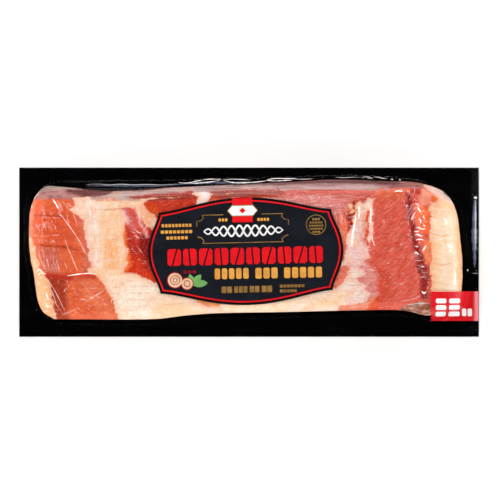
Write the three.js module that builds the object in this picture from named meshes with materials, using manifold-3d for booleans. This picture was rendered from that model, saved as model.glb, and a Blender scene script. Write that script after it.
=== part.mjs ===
// A long vacuum pack of sliced bacon, lying on its back.
// A black web is the flat base. A clear film is drawn down over a leaning stack of slices and sealed
// to the web all round. A black shield-shaped panel and a small red tag are printed on the film.
//
// Millimetres. X runs along the pack and the slices, Y across them towards the side where the broad
// face of the last slice shows, and Z up out of the face. The origin is the middle of the underside.

import * as THREE from "three";
import { mergeVertices } from "three/addons/utils/BufferGeometryUtils.js";
import Module from "manifold-3d";

// The pack and its two webs.
const packLength = 300;
const packWidth = 110.4;
const webThickness = 0.5;
const sealThickness = 0.25;

// The stack under the film.
const sliceCount = 19;
const stackRise = 30.5;
const endDrop = 3.2;
const sideDrop = 2.4;
const stackMiddle = { x: 12, y: 2 };
const stackHalf = { x: 140, y: 42 };
const swell = { height: 0.5, alongX: 27, alongY: 19 };

// How the film leaves the stack: the flat run from the stack's edge to the seal, and the shoulder.
const lowerApron = 3.2;
const sideApron = 3.4;
const shoulder = 10;
const steepFall = 2.4;
const slopingFall = 1.7;

// The slice edges: the grooves between them and how far they stand unevenly. Both fade near the ends.
const grooveDepth = 0.6;
const grooveSharpness = 3;
const uneven = { height: 0.35, quick: 2.4, slow: 1.1, alongX: 55 };
const edgeFade = 16;

// The bead pressed into the film beside the right end.
const bead = { x: 147.2, halfWidth: 1.4, height: 0.9 };

// The printed panels lie a little clear of the film.
const panelGap = 0.3;
const panelThickness = 0.4;
const label = {
  centre: [-2.2, 0.6],
  turn: THREE.MathUtils.degToRad(1.25),
  halfLength: 57.1,
  halfWidth: 26.4,
  endBulge: 6.4,
  sideBulge: 8.2,
  ogee: 0.7,
  fadeFrom: 3,
  fadeTo: 7,
};
const tag = { left: 118, right: 149.7, low: -44.9, high: -25.6, teeth: 12, toothDepth: 0.9 };

// Outlines of the stack seen from above, as [position, value] pairs.
const lowerLipPoints = [
  [-127, -43.7], [-68, -43.5], [-44, -41.2], [-22, -39.7], [20, -39.0], [72, -37.8],
  [100, -37.9], [118, -41.0], [130, -41.1],
];
const upperRidgePoints = [
  [-133, 38.6], [-97, 36.0], [-58, 37.6], [-6, 40.3], [47, 40.9], [83, 40.2], [112, 40.5],
  [121, 37.3], [129, 33.4],
];
const upperFootPoints = [
  [-133, 45.5], [-97, 46.3], [-6, 47.8], [47, 49.5], [83, 49.2], [111, 46.4], [123, 42.4],
  [132, 36.5],
];
const leftEndPoints = [
  [-43.7, -127.3], [-39, -134.2], [-29, -138.3], [-13, -140.4], [-6, -142.3], [13, -143.5],
  [29, -142.4], [39, -137.5], [43, -133.2],
];
const rightEndPoints = [
  [-41, 129.8], [-36.5, 135.0], [-28, 138.2], [-8, 139.0], [8, 137.8], [24, 135.7],
  [33, 132.4], [38, 128.0],
];

// A smooth curve through [position, value] pairs, level beyond its ends.
function curveThrough(points) {
  const last = points.length - 1;
  const slopes = points.map((_, i) => {
    const before = points[Math.max(i - 1, 0)];
    const after = points[Math.min(i + 1, last)];
    return (after[1] - before[1]) / (after[0] - before[0]);
  });
  return (at) => {
    if (at <= points[0][0]) return points[0][1];
    if (at >= points[last][0]) return points[last][1];
    const i = points.findIndex((point) => point[0] > at) - 1;
    const [start, from] = points[i];
    const [end, to] = points[i + 1];
    const span = end - start;
    const t = (at - start) / span;
    const rise = t * t * (3 - 2 * t);
    const leave = t * (1 - t) * (1 - t) * slopes[i] * span;
    const arrive = t * t * (t - 1) * slopes[i + 1] * span;
    return from + (to - from) * rise + leave + arrive;
  };
}

const lowerLip = curveThrough(lowerLipPoints);
const upperRidge = curveThrough(upperRidgePoints);
const upperFoot = curveThrough(upperFootPoints);
const leftEnd = curveThrough(leftEndPoints);
const rightEnd = curveThrough(rightEndPoints);

const { clamp, lerp, smoothstep } = THREE.MathUtils;

// The share of a panel's bulge at a share of its half side: none at the corner, all at the middle.
function ogeeShare(share) {
  const inward = clamp(1 - Math.abs(share), 0, 1);
  return Math.sin((Math.PI / 2) * inward ** label.ogee) ** 2;
}

// 1 under the label, falling to 0 some way outside it.
function underLabel(x, y) {
  const turned = new THREE.Vector2(x, y).rotateAround(
    new THREE.Vector2(...label.centre),
    -label.turn,
  );
  const along = turned.x - label.centre[0];
  const across = turned.y - label.centre[1];
  const reach = {
    x: label.halfLength + label.endBulge * ogeeShare(across / label.halfWidth),
    y: label.halfWidth + label.sideBulge * ogeeShare(along / label.halfLength),
  };
  const outside = Math.max(Math.abs(along) - reach.x, Math.abs(across) - reach.y);
  return 1 - smoothstep(outside, label.fadeFrom, label.fadeTo);
}

// How far a point is up the film's side: 0 at the seal, 1 on the stack's top.
function climb(x, y) {
  const foot = {
    low: lowerLip(x) - lowerApron,
    high: upperFoot(x),
    left: leftEnd(y) - sideApron,
    right: rightEnd(y) + sideApron,
  };
  const crestHigh = upperRidge(x) - 1;
  const lowClimb = (y - foot.low) / (lowerApron + shoulder * 0.55);
  const highClimb = (foot.high - y) / (foot.high - crestHigh);
  const endClimb = Math.min(x - foot.left, foot.right - x) / (sideApron + shoulder);
  const across = 1 - clamp(Math.min(lowClimb, highClimb), 0, 1);
  const along = 1 - clamp(endClimb, 0, 1);
  return 1 - Math.min(1, Math.hypot(across, along));
}

// The relief of the slice edges, fading out under the label, at the ends and down the sides.
function sliceRelief(x, y) {
  const slice = (sliceCount * (y - lowerLip(x))) / (upperRidge(x) - lowerLip(x));
  if (slice <= 0 || slice >= sliceCount) return 0;
  const valley = ((1 + Math.cos(2 * Math.PI * slice)) / 2) ** grooveSharpness;
  const stand = Math.sin(uneven.quick * slice) + Math.sin(uneven.slow * slice + x / uneven.alongX);
  const fromEnd = Math.min(x - leftEnd(y), rightEnd(y) - x);
  const kept = smoothstep(fromEnd, 0, edgeFade) * smoothstep(climb(x, y), 0.5, 1);
  return (uneven.height * stand - grooveDepth * valley) * kept * (1 - underLabel(x, y));
}

// The height of the film's outer face.
function filmHeight(x, y) {
  const up = climb(x, y);
  const fall = lerp(steepFall, slopingFall, smoothstep(y, -10, 40));
  const side = 1 - (1 - up) ** fall;
  const crown =
    stackRise -
    endDrop * ((x - stackMiddle.x) / stackHalf.x) ** 2 -
    sideDrop * ((y - stackMiddle.y) / stackHalf.y) ** 2 +
    swell.height * Math.sin(x / swell.alongX + 1) * Math.cos(y / swell.alongY);
  const edgeBead = bead.height * Math.exp(-(((x - bead.x) / bead.halfWidth) ** 2));
  return webThickness + sealThickness + side * crown + sliceRelief(x, y) + edgeBead * (1 - side);
}

// Stations from one line to the next: marks holds the lines, steps the intervals between them.
function stations(marks, steps) {
  const placed = [marks[0]];
  steps.forEach((count, i) => {
    for (let k = 1; k <= count; k += 1) placed.push(lerp(marks[i], marks[i + 1], k / count));
  });
  return placed;
}

// Rows follow the slice edges, and columns follow the stack's two ends.
function filmGrid(rowsPerSlice) {
  const rowSteps = [1, 3, sliceCount * rowsPerSlice, 4, 1];
  const columnSteps = [1, 3, 4, 38, 4, 3, 5];
  const rowsAt = (x) =>
    stations(
      [-packWidth / 2, lowerLip(x) - lowerApron, lowerLip(x), upperRidge(x), upperFoot(x), packWidth / 2],
      rowSteps,
    );
  const columnsAt = (y) =>
    stations(
      [
        -packLength / 2,
        leftEnd(y) - sideApron,
        leftEnd(y),
        leftEnd(y) + shoulder,
        rightEnd(y) - shoulder,
        rightEnd(y),
        rightEnd(y) + sideApron,
        packLength / 2,
      ],
      columnSteps,
    );
  const middleRows = rowsAt(0);
  return middleRows.map((roughY, row) =>
    columnsAt(roughY).map((x, column) => {
      const y = rowsAt(x)[row];
      return [columnsAt(y)[column], y];
    }),
  );
}

// A closed solid from the web's face up to the film's outer face, raised by a clearance.
function filmGeometry(raise, rowsPerSlice) {
  const grid = filmGrid(rowsPerSlice);
  const rows = grid.length;
  const columns = grid[0].length;
  const positions = grid.flat().flatMap(([x, y]) => [x, y, filmHeight(x, y) + raise]);
  const index = [];
  for (let row = 0; row < rows - 1; row += 1) {
    for (let column = 0; column < columns - 1; column += 1) {
      const a = row * columns + column;
      const b = a + columns;
      index.push(a, a + 1, b + 1, a, b + 1, b);
    }
  }
  // The rim, anticlockwise seen from above, with a copy of it on the web.
  const rim = [
    ...grid[0].map((_, column) => column),
    ...grid.slice(1).map((_, row) => (row + 1) * columns + columns - 1),
    ...grid[0].slice(1).map((_, column) => rows * columns - 2 - column),
    ...grid.slice(2).map((_, row) => (rows - 2 - row) * columns),
  ];
  const rimStart = positions.length / 3;
  rim.forEach((top) => positions.push(positions[top * 3], positions[top * 3 + 1], webThickness));
  const centre = positions.length / 3;
  positions.push(0, 0, webThickness);
  rim.forEach((top, i) => {
    const next = (i + 1) % rim.length;
    const low = rimStart + i;
    const lowNext = rimStart + next;
    index.push(top, low, lowNext, top, lowNext, rim[next], centre, lowNext, low);
  });
  const geometry = new THREE.BufferGeometry();
  geometry.setAttribute("position", new THREE.Float32BufferAttribute(positions, 3));
  geometry.setIndex(index);
  geometry.computeVertexNormals();
  return geometry;
}

const wasm = await Module();
wasm.setup();

function solidOf(geometry) {
  const bare = geometry.clone();
  bare.deleteAttribute("normal");
  bare.deleteAttribute("uv");
  const merged = mergeVertices(bare, 1e-4);
  return new wasm.Manifold(
    new wasm.Mesh({
      numProp: 3,
      vertProperties: merged.attributes.position.array,
      triVerts: new Uint32Array(merged.index.array),
    }),
  );
}

function geometryOf(solid) {
  const { vertProperties, triVerts } = solid.getMesh();
  const geometry = new THREE.BufferGeometry();
  geometry.setAttribute("position", new THREE.BufferAttribute(vertProperties, 3));
  geometry.setIndex(new THREE.BufferAttribute(triVerts, 1));
  geometry.computeVertexNormals();
  return geometry;
}

// A thin panel of the given outline that follows the film's face.
function panelGeometry(outline, rowsPerSlice) {
  const prism = solidOf(new THREE.ExtrudeGeometry(outline, { depth: stackRise * 2, bevelEnabled: false }));
  const outer = solidOf(filmGeometry(panelGap + panelThickness, rowsPerSlice));
  const inner = solidOf(filmGeometry(panelGap, rowsPerSlice));
  return geometryOf(prism.intersect(outer).subtract(inner));
}

// The shield: straight corners, with each side swelling out between them.
function labelOutline() {
  const stepsPerSide = 20;
  const corners = [[-1, -1], [1, -1], [1, 1], [-1, 1]];
  const points = corners.flatMap(([fromX, fromY], side) => {
    const [toX, toY] = corners[(side + 1) % 4];
    return Array.from({ length: stepsPerSide }, (_, i) => {
      const shareX = lerp(fromX, toX, i / stepsPerSide);
      const shareY = lerp(fromY, toY, i / stepsPerSide);
      const x = shareX * (label.halfLength + label.endBulge * ogeeShare(shareY));
      const y = shareY * (label.halfWidth + label.sideBulge * ogeeShare(shareX));
      return new THREE.Vector2(x, y)
        .rotateAround(new THREE.Vector2(), label.turn)
        .add(new THREE.Vector2(...label.centre));
    });
  });
  return new THREE.Shape(points);
}

// The tag: square, with a pinked left edge.
function tagOutline() {
  const points = [new THREE.Vector2(tag.right, tag.low), new THREE.Vector2(tag.right, tag.high)];
  for (let i = 0; i <= tag.teeth * 2; i += 1) {
    const y = lerp(tag.high, tag.low, i / (tag.teeth * 2));
    points.push(new THREE.Vector2(tag.left + (i % 2) * tag.toothDepth, y));
  }
  return new THREE.Shape(points);
}

function backingWebGeometry() {
  const geometry = new THREE.BoxGeometry(packLength, packWidth, webThickness);
  geometry.translate(0, 0, webThickness / 2);
  return geometry;
}

function named(name, geometry, finish) {
  const mesh = new THREE.Mesh(geometry, new THREE.MeshStandardMaterial(finish));
  mesh.name = name;
  return mesh;
}

const baconPack = new THREE.Group();
baconPack.add(
  named("backing_web", backingWebGeometry(), { color: 0x08080a, roughness: 0.35, metalness: 0 }),
  named("sealed_bacon", filmGeometry(0, 3), { color: 0xe39a72, roughness: 0.25, metalness: 0 }),
  named("label_panel", panelGeometry(labelOutline(), 1), { color: 0x10131b, roughness: 0.4, metalness: 0 }),
  named("tag_panel", panelGeometry(tagOutline(), 3), { color: 0xd81e27, roughness: 0.35, metalness: 0 }),
);

export default baconPack;
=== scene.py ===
import math

import bpy
import numpy as np
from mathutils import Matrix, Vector, geometry


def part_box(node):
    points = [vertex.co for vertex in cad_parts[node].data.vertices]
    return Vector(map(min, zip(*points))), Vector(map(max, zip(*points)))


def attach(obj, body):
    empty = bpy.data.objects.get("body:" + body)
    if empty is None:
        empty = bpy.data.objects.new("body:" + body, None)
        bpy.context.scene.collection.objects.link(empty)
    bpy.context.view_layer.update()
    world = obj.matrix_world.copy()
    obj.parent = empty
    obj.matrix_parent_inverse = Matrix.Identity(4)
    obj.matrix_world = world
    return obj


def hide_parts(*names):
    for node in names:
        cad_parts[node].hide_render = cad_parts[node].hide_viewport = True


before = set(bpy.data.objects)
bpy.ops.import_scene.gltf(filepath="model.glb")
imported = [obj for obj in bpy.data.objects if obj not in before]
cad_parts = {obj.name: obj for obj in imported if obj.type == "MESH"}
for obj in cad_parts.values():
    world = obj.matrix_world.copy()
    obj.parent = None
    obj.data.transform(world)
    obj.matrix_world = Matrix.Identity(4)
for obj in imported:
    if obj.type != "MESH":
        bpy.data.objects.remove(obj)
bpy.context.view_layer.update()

scene = bpy.context.scene
mm = 0.001  # every size below is in millimetres until a mesh is made
rng = np.random.default_rng(24)


# Small maths

def smooth(value, low=0.0, high=1.0):
    share = np.clip((value - low) / (high - low), 0, 1)
    return share * share * (3 - 2 * share)


def mix(start, end, share):
    return start + (end - start) * share


def curveThrough(points):
    # a smooth curve through [position, value] pairs, level beyond its ends
    at, value = np.array(points, float).T
    slope = np.empty_like(value)
    slope[1:-1] = (value[2:] - value[:-2]) / (at[2:] - at[:-2])
    slope[0] = (value[1] - value[0]) / (at[1] - at[0])
    slope[-1] = (value[-1] - value[-2]) / (at[-1] - at[-2])

    def curve(where):
        where = np.clip(where, at[0], at[-1])
        i = np.clip(np.searchsorted(at, where, side="right") - 1, 0, len(at) - 2)
        span = at[i + 1] - at[i]
        t = (where - at[i]) / span
        leave = t * (1 - t) ** 2 * slope[i] * span
        arrive = t * t * (t - 1) * slope[i + 1] * span
        return mix(value[i], value[i + 1], t * t * (3 - 2 * t)) + leave + arrive

    return curve


def hills(x, y, size, seed):
    # smooth random hills between -1 and 1; size is one hill's width, or its widths along x and y
    alongX, alongY = size if isinstance(size, tuple) else (size, size)
    table = np.random.default_rng(seed).uniform(-1, 1, (64, 64))
    u, v = np.asarray(x) / alongX + 500, np.asarray(y) / alongY + 500
    i, j = np.floor(u).astype(int), np.floor(v).astype(int)
    s, t = smooth(u - i), smooth(v - j)
    i, j = i % 63, j % 63
    low = mix(table[i, j], table[i + 1, j], s)
    high = mix(table[i, j + 1], table[i + 1, j + 1], s)
    return mix(low, high, t)


def insideDistance(x, y, outline):
    # how far a point is inside an outline, or outside it when negative
    nearest = np.full(np.shape(x), 1e6)
    inside = np.zeros(np.shape(x), bool)
    corners = [tuple(map(float, corner)) for corner in outline]
    for (ax, ay), (bx, by) in zip(corners, corners[1:] + corners[:1]):
        alongX, alongY = bx - ax, by - ay
        length = max(alongX ** 2 + alongY ** 2, 1e-9)
        t = np.clip(((x - ax) * alongX + (y - ay) * alongY) / length, 0, 1)
        nearest = np.minimum(nearest, np.hypot(x - ax - t * alongX, y - ay - t * alongY))
        if ay != by:
            crosses = (ay > y) != (by > y)
            inside ^= crosses & (x < ax + (y - ay) * alongX / alongY)
    return np.where(inside, nearest, -nearest)


def lineDistance(x, y, points):
    # how far a point is from a line through points, and how far along the line it is, as a share
    nearest = np.full(np.shape(x), 1e6)
    place = np.zeros(np.shape(x))
    corners = np.array(points, float)
    run = np.concatenate([[0], np.cumsum(np.hypot(*np.diff(corners, axis=0).T))])
    for k in range(len(corners) - 1):
        (ax, ay), (bx, by) = corners[k], corners[k + 1]
        length = max((bx - ax) ** 2 + (by - ay) ** 2, 1e-9)
        t = np.clip(((x - ax) * (bx - ax) + (y - ay) * (by - ay)) / length, 0, 1)
        away = np.hypot(x - ax - t * (bx - ax), y - ay - t * (by - ay))
        closer = away < nearest
        nearest = np.where(closer, away, nearest)
        place = np.where(closer, mix(run[k], run[k + 1], t) / run[-1], place)
    return nearest, place


# The form of the pack, as its solids have it

packLow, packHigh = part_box("backing_web")
pack = {
    "length": (packHigh.x - packLow.x) / mm,
    "width": (packHigh.y - packLow.y) / mm,
    "web": packHigh.z / mm,
    "seal": 0.25,
}
stack = {
    "sliceCount": 19,
    "rise": 30.5,
    "endDrop": 3.2,
    "sideDrop": 2.4,
    "middle": (12, 2),
    "half": (140, 42),
    "swell": (0.5, 27, 19),
    "lowerApron": 3.2,
    "sideApron": 3.4,
    "shoulder": 10,
    "steepFall": 2.4,
    "slopingFall": 1.7,
    "grooveDepth": 0.6,
    "grooveSharpness": 3,
    "uneven": (0.35, 2.4, 1.1, 55),
    "edgeFade": 16,
    "reliefShown": 0.16,  # under the tight film the slices stand out less than in the solid
    "bead": (147.2, 1.4, 0.9),
}
lowerLip = curveThrough([
    (-127, -43.7), (-68, -43.5), (-44, -41.2), (-22, -39.7), (20, -39.0), (72, -37.8),
    (100, -37.9), (118, -41.0), (130, -41.1),
])
upperRidge = curveThrough([
    (-133, 38.6), (-97, 36.0), (-58, 37.6), (-6, 40.3), (47, 40.9), (83, 40.2), (112, 40.5),
    (121, 37.3), (129, 33.4),
])
upperFoot = curveThrough([
    (-133, 45.5), (-97, 46.3), (-6, 47.8), (47, 49.5), (83, 49.2), (111, 46.4), (123, 42.4),
    (132, 36.5),
])
leftEnd = curveThrough([
    (-43.7, -127.3), (-39, -134.2), (-29, -138.3), (-13, -140.4), (-6, -142.3), (13, -143.5),
    (29, -142.4), (39, -137.5), (43, -133.2),
])
rightEnd = curveThrough([
    (-41, 129.8), (-36.5, 135.0), (-28, 138.2), (-8, 139.0), (8, 137.8), (24, 135.7),
    (33, 132.4), (38, 128.0),
])
# where the last slice's foot stands, beyond its top edge
upperMeat = curveThrough([
    (-133, 43.1), (-118, 41.8), (-106, 40.6), (-97, 39.9), (-88, 39.9), (-78, 40.2), (-70, 40.7), (-58, 41.8),
    (-46, 42.3), (-32, 43), (20, 45.4), (56, 47.3), (85, 46.4), (98, 46.1), (111, 45.5), (117, 44.8),
    (121, 43.6), (125, 42.2), (128, 40.2), (132, 36),
])

label = {
    "centre": (-2.2, 0.6),
    "turn": math.radians(1.25),
    "halfLength": 55.9,
    "halfWidth": 26.3,
    "endBulge": 7.4,
    "sideBulge": 8.6,
    "ogee": 0.77,
    "fade": (3, 7),
    "steps": 36,
    "lift": 0.12,
    "thickness": 0.3,
    "ink": 0.07,
    "border": 1.7,
    "keyline": 0.95,
}


def onLabel(along, across):
    # a place in the label's own turned frame, in the pack's frame
    c, s = math.cos(label["turn"]), math.sin(label["turn"])
    x = label["centre"][0] + along * c - across * s
    y = label["centre"][1] + along * s + across * c
    return x, y


def ogeeShare(share):
    inward = np.clip(1 - np.abs(share), 0, 1)
    return np.sin(math.pi / 2 * inward ** label["ogee"]) ** 2


def underLabel(x, y):
    c, s = math.cos(label["turn"]), math.sin(label["turn"])
    dx, dy = x - label["centre"][0], y - label["centre"][1]
    along, across = dx * c + dy * s, dy * c - dx * s
    reachX = label["halfLength"] + label["endBulge"] * ogeeShare(across / label["halfWidth"])
    reachY = label["halfWidth"] + label["sideBulge"] * ogeeShare(along / label["halfLength"])
    outside = np.maximum(np.abs(along) - reachX, np.abs(across) - reachY)
    return 1 - smooth(outside, *label["fade"])


tag = {
    "left": 118,
    "right": 149.7,
    "low": -44.9,
    "high": -25.6,
    "teeth": 9,
    "toothDepth": 1.3,
    "spread": 0.9,       # how much further left its high part lies than its foot
    "spreadOver": 8,
    # the sheen is a painted highlight: a pale band along the tag's right edge
    "sheenFrom": 145.6,  # the pale band along its right edge
    "sheenOver": 2.6,
    "fade": (0.3, 2.4),
    "spacing": 0.6,
    "bridge": 1.8,
    "blockHeight": 0.4,
}


def underTag(x, y):
    beside = np.maximum(tag["left"] - x, x - tag["right"])
    above = np.maximum(tag["low"] - y, y - tag["high"])
    return 1 - smooth(np.maximum(beside, above), *tag["fade"])


def climb(x, y):
    # 0 where the film meets the web, 1 on top of the stack
    footLow = lowerLip(x) - stack["lowerApron"]
    footHigh = upperFoot(x)
    lowClimb = (y - footLow) / (stack["lowerApron"] + stack["shoulder"] * 0.55)
    highClimb = (footHigh - y) / (footHigh - upperRidge(x) + 1)
    fromLeft = x - leftEnd(y) + stack["sideApron"]
    fromRight = rightEnd(y) + stack["sideApron"] - x
    endClimb = np.minimum(fromLeft, fromRight) / (stack["sideApron"] + stack["shoulder"])
    across = 1 - np.clip(np.minimum(lowClimb, highClimb), 0, 1)
    along = 1 - np.clip(endClimb, 0, 1)
    return 1 - np.minimum(1, np.hypot(across, along))


def sliceRelief(x, y):
    lip, ridge = lowerLip(x), upperRidge(x)
    place = stack["sliceCount"] * (y - lip) / (ridge - lip)
    valley = ((1 + np.cos(2 * math.pi * place)) / 2) ** stack["grooveSharpness"]
    height, quick, slow, alongX = stack["uneven"]
    stand = np.sin(quick * place) + np.sin(slow * place + x / alongX)
    fromEnd = np.minimum(x - leftEnd(y), rightEnd(y) - x)
    kept = smooth(fromEnd, 0, stack["edgeFade"]) * smooth(climb(x, y), 0.5, 1) * (1 - underLabel(x, y))
    relief = (height * stand - stack["grooveDepth"] * valley) * kept * stack["reliefShown"]
    return np.where((place > 0) & (place < stack["sliceCount"]), relief, 0)


def filmSide(x, y):
    up = climb(x, y)
    fall = mix(stack["steepFall"], stack["slopingFall"], smooth(y, -10, 40))
    return 1 - (1 - up) ** fall


def filmHeight(x, y):
    (middleX, middleY), (halfX, halfY) = stack["middle"], stack["half"]
    height, alongX, alongY = stack["swell"]
    crown = (
        stack["rise"]
        - stack["endDrop"] * ((x - middleX) / halfX) ** 2
        - stack["sideDrop"] * ((y - middleY) / halfY) ** 2
        + height * np.sin(x / alongX + 1) * np.cos(y / alongY)
    )
    side = filmSide(x, y)
    beadX, beadHalf, beadHeight = stack["bead"]
    bead = beadHeight * np.exp(-(((x - beadX) / beadHalf) ** 2)) * (1 - side)
    return pack["web"] + pack["seal"] + side * crown + sliceRelief(x, y) + bead


# Furrows where one muscle ends and the next starts: their line, depth and half width
furrows = [
    {"line": [(104, 42), (103.5, 33), (105.5, 20), (107.5, 6), (110, -4), (113, -14), (113.5, -30)],
     "depth": 1.5, "half": 2.6},
    {"line": [(68.5, 31), (69, 27), (67, 20), (66, 8), (65.5, 0)], "depth": 1.3, "half": 1.3},
    {"line": [(73, 34), (72.5, 28), (71.5, 22)], "depth": 0.8, "half": 1.0},
    {"line": [(79.5, 33), (79.5, 20), (79.3, 8), (81, -6), (85, -14), (86, -30)], "depth": 0.7, "half": 1.2},
    {"line": [(-133, -13.5), (-118, -14.6), (-97, -14.3)], "depth": 0.7, "half": 0.9},
    {"line": [(-126.5, -43), (-127.5, -30), (-131, -18)], "depth": 0.8, "half": 1.5},
    {"line": [(-105, 27.4), (-92, 27.6), (-82, 28.6)], "depth": 0.5, "half": 0.6},
    {"line": [(-72.5, 27), (-69, 20), (-66.5, 12)], "depth": 0.7, "half": 1.5},
]


def furrowDepth(x, y):
    depth = np.zeros(np.shape(x))
    for furrow in furrows:
        away, place = lineDistance(x, y, furrow["line"])
        ends = smooth(np.minimum(place, 1 - place), -0.05, 0.12)
        depth = np.maximum(depth, furrow["depth"] * np.exp(-((away / furrow["half"]) ** 2)) * ends)
    return depth * (1 - underLabel(x, y))


def toObject(name, vertices, faces, material=None, flat=False, edges=()):
    mesh = bpy.data.meshes.new(name)
    mesh.from_pydata((np.asarray(vertices) * mm).tolist(), edges, [tuple(map(int, face)) for face in faces])
    mesh.update()
    if not flat:
        mesh.polygons.foreach_set("use_smooth", [True] * len(mesh.polygons))
    thing = bpy.data.objects.new(name, mesh)
    scene.collection.objects.link(thing)
    if material:
        mesh.materials.append(material)
    return thing


def addNumbers(thing, name, values):
    attribute = thing.data.attributes.new(name, "FLOAT", "POINT")
    attribute.data.foreach_set("value", np.asarray(values, np.float32).ravel())


def addColours(thing, name, values):
    attribute = thing.data.attributes.new(name, "FLOAT_COLOR", "POINT")
    rgba = np.ones((len(values), 4), np.float32)
    rgba[:, :3] = values
    attribute.data.foreach_set("color", rgba.ravel())


def paint(code):
    # a screen colour such as "#d2553a" as the light that it stands for
    parts = np.array([int(code[k:k + 2], 16) for k in (1, 3, 5)]) / 255
    return np.where(parts <= 0.04045, parts / 12.92, ((parts + 0.055) / 1.055) ** 2.4)


# Material building

class Recipe:
    # a material's nodes, wired by short calls
    def __init__(self, name):
        self.material = bpy.data.materials.new(name)
        self.material.use_nodes = True
        self.tree = self.material.node_tree
        self.tree.nodes.clear()
        self.output = self.tree.nodes.new("ShaderNodeOutputMaterial")

    def put(self, kind, values=None, **settings):
        node = self.tree.nodes.new(kind)
        for key, value in settings.items():
            setattr(node, key, value)
        for key, value in (values or {}).items():
            self.feed(node.inputs[key], value)
        return node

    def feed(self, socket, value):
        if isinstance(value, bpy.types.NodeSocket):
            self.tree.links.new(value, socket)
        elif isinstance(value, bpy.types.Node):
            self.tree.links.new(value.outputs[0], socket)
        elif isinstance(value, str):
            socket.default_value = (*paint(value), 1)
        else:
            socket.default_value = value

    def place(self):
        # object coordinates in millimetres
        if not hasattr(self, "inMillimetres"):
            coordinates = self.put("ShaderNodeTexCoord")
            scaled = self.put("ShaderNodeVectorMath", {0: coordinates.outputs["Object"]}, operation="SCALE")
            scaled.inputs["Scale"].default_value = 1 / mm
            self.inMillimetres = scaled.outputs[0]
        return self.inMillimetres

    def stretched(self, size, turn=0.0):
        # the place divided by a grain's size, after a turn about z
        vector = self.place()
        if turn:
            vector = self.put("ShaderNodeVectorRotate", {"Vector": vector, "Angle": math.radians(turn)},
                              rotation_type="Z_AXIS").outputs[0]
        shares = tuple(1 / part for part in size)
        return self.put("ShaderNodeVectorMath", {0: vector, 1: shares}, operation="MULTIPLY").outputs[0]

    def noise(self, size, detail=2.0, roughness=0.5, turn=0.0, warp=0.0):
        size = size if isinstance(size, tuple) else (size,) * 3
        return self.put("ShaderNodeTexNoise", {
            "Vector": self.stretched(size, turn), "Scale": 1.0, "Detail": detail,
            "Roughness": roughness, "Distortion": warp}).outputs["Fac"]

    def number(self, name):
        return self.put("ShaderNodeAttribute", attribute_name=name).outputs["Fac"]

    def tint(self, name):
        return self.put("ShaderNodeAttribute", attribute_name=name).outputs["Color"]

    def math(self, operation, a, b=0.0, c=0.0):
        return self.put("ShaderNodeMath", {0: a, 1: b, 2: c}, operation=operation).outputs[0]

    def ramp(self, value, low, high, start=0.0, end=1.0):
        return self.put("ShaderNodeMapRange", {
            "Value": value, "From Min": low, "From Max": high, "To Min": start, "To Max": end},
            interpolation_type="SMOOTHSTEP").outputs[0]

    def blend(self, share, a, b, kind="MIX"):
        node = self.tree.nodes.new("ShaderNodeMix")
        node.data_type = "RGBA"
        node.blend_type = kind
        self.feed(node.inputs[0], share)
        self.feed(node.inputs[6], a)
        self.feed(node.inputs[7], b)
        return node.outputs[2]

    def bump(self, height, strength, distance, normal=None):
        node = self.put("ShaderNodeBump", {"Height": height, "Strength": strength, "Distance": distance * mm})
        if normal:
            self.feed(node.inputs["Normal"], normal)
        return node.outputs[0]

    def skin(self, **values):
        names = {key.replace("_", " "): value for key, value in values.items()}
        shader = self.put("ShaderNodeBsdfPrincipled", names)
        self.tree.links.new(shader.outputs[0], self.output.inputs["Surface"])
        return shader


# The meat: patches of lean and fat, seen from above. Each is painted over the ones before it.

meat = {
    "fat": "#fddec0",
    "lean": "#d4604a",
    "sliceShift": 0.8,   # how far a patch's edge jumps from slice to slice
    "cover": 0.45,       # the film's thickness and play above the meat
    "stations": 236,
    "endCrowding": 0.35,
    "gap": 0.015,
    "cornerY": 35,       # above this the right end runs straight down to its foot
    "lowerLean": 2.0,
    "floor": 0.58,
    "leanGain": 1.12,    # the patterns darken muscle by about this much
    "overlap": 1.5,      # how far a patch's colour reaches past its edge
    "noLean": -9.0,      # stands for a point with no muscle near it
    "plainNet": 0.3,
    "span": 275,         # about how long a slice is
    "guess": (-138, 134),
    "endDrop": 0.72,     # how high a slice still is at its very end
    "endRound": 1.6,
    "endPlain": (0.5, 6),  # the end faces keep the patches' colours over this length
    "lastSide": (12, 15),  # how deep a face is before it takes the side's colours
    "otherSide": (1.5, 5),
    "middleDepth": 28,
    "underside": 0.06,   # how far a slice stands off the web
    "sharpAngle": 50,
    "stand": 0.08,       # how much lower some slices stand
    "endSpread": 0.35,   # how much shorter some are
    "creaseShadePower": 1.6,
    "rounding": 0.1,
    "lumps": (0.1, 7, 0.05, 2.4),
    "tuck": 0.9,
    "faceShares": (0, 0.3, 0.58, 0.72, 0.84, 0.93),
    "topShares": (0, 0.07, 0.18, 0.34, 0.5, 0.66, 0.82, 0.93, 1),
}
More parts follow.
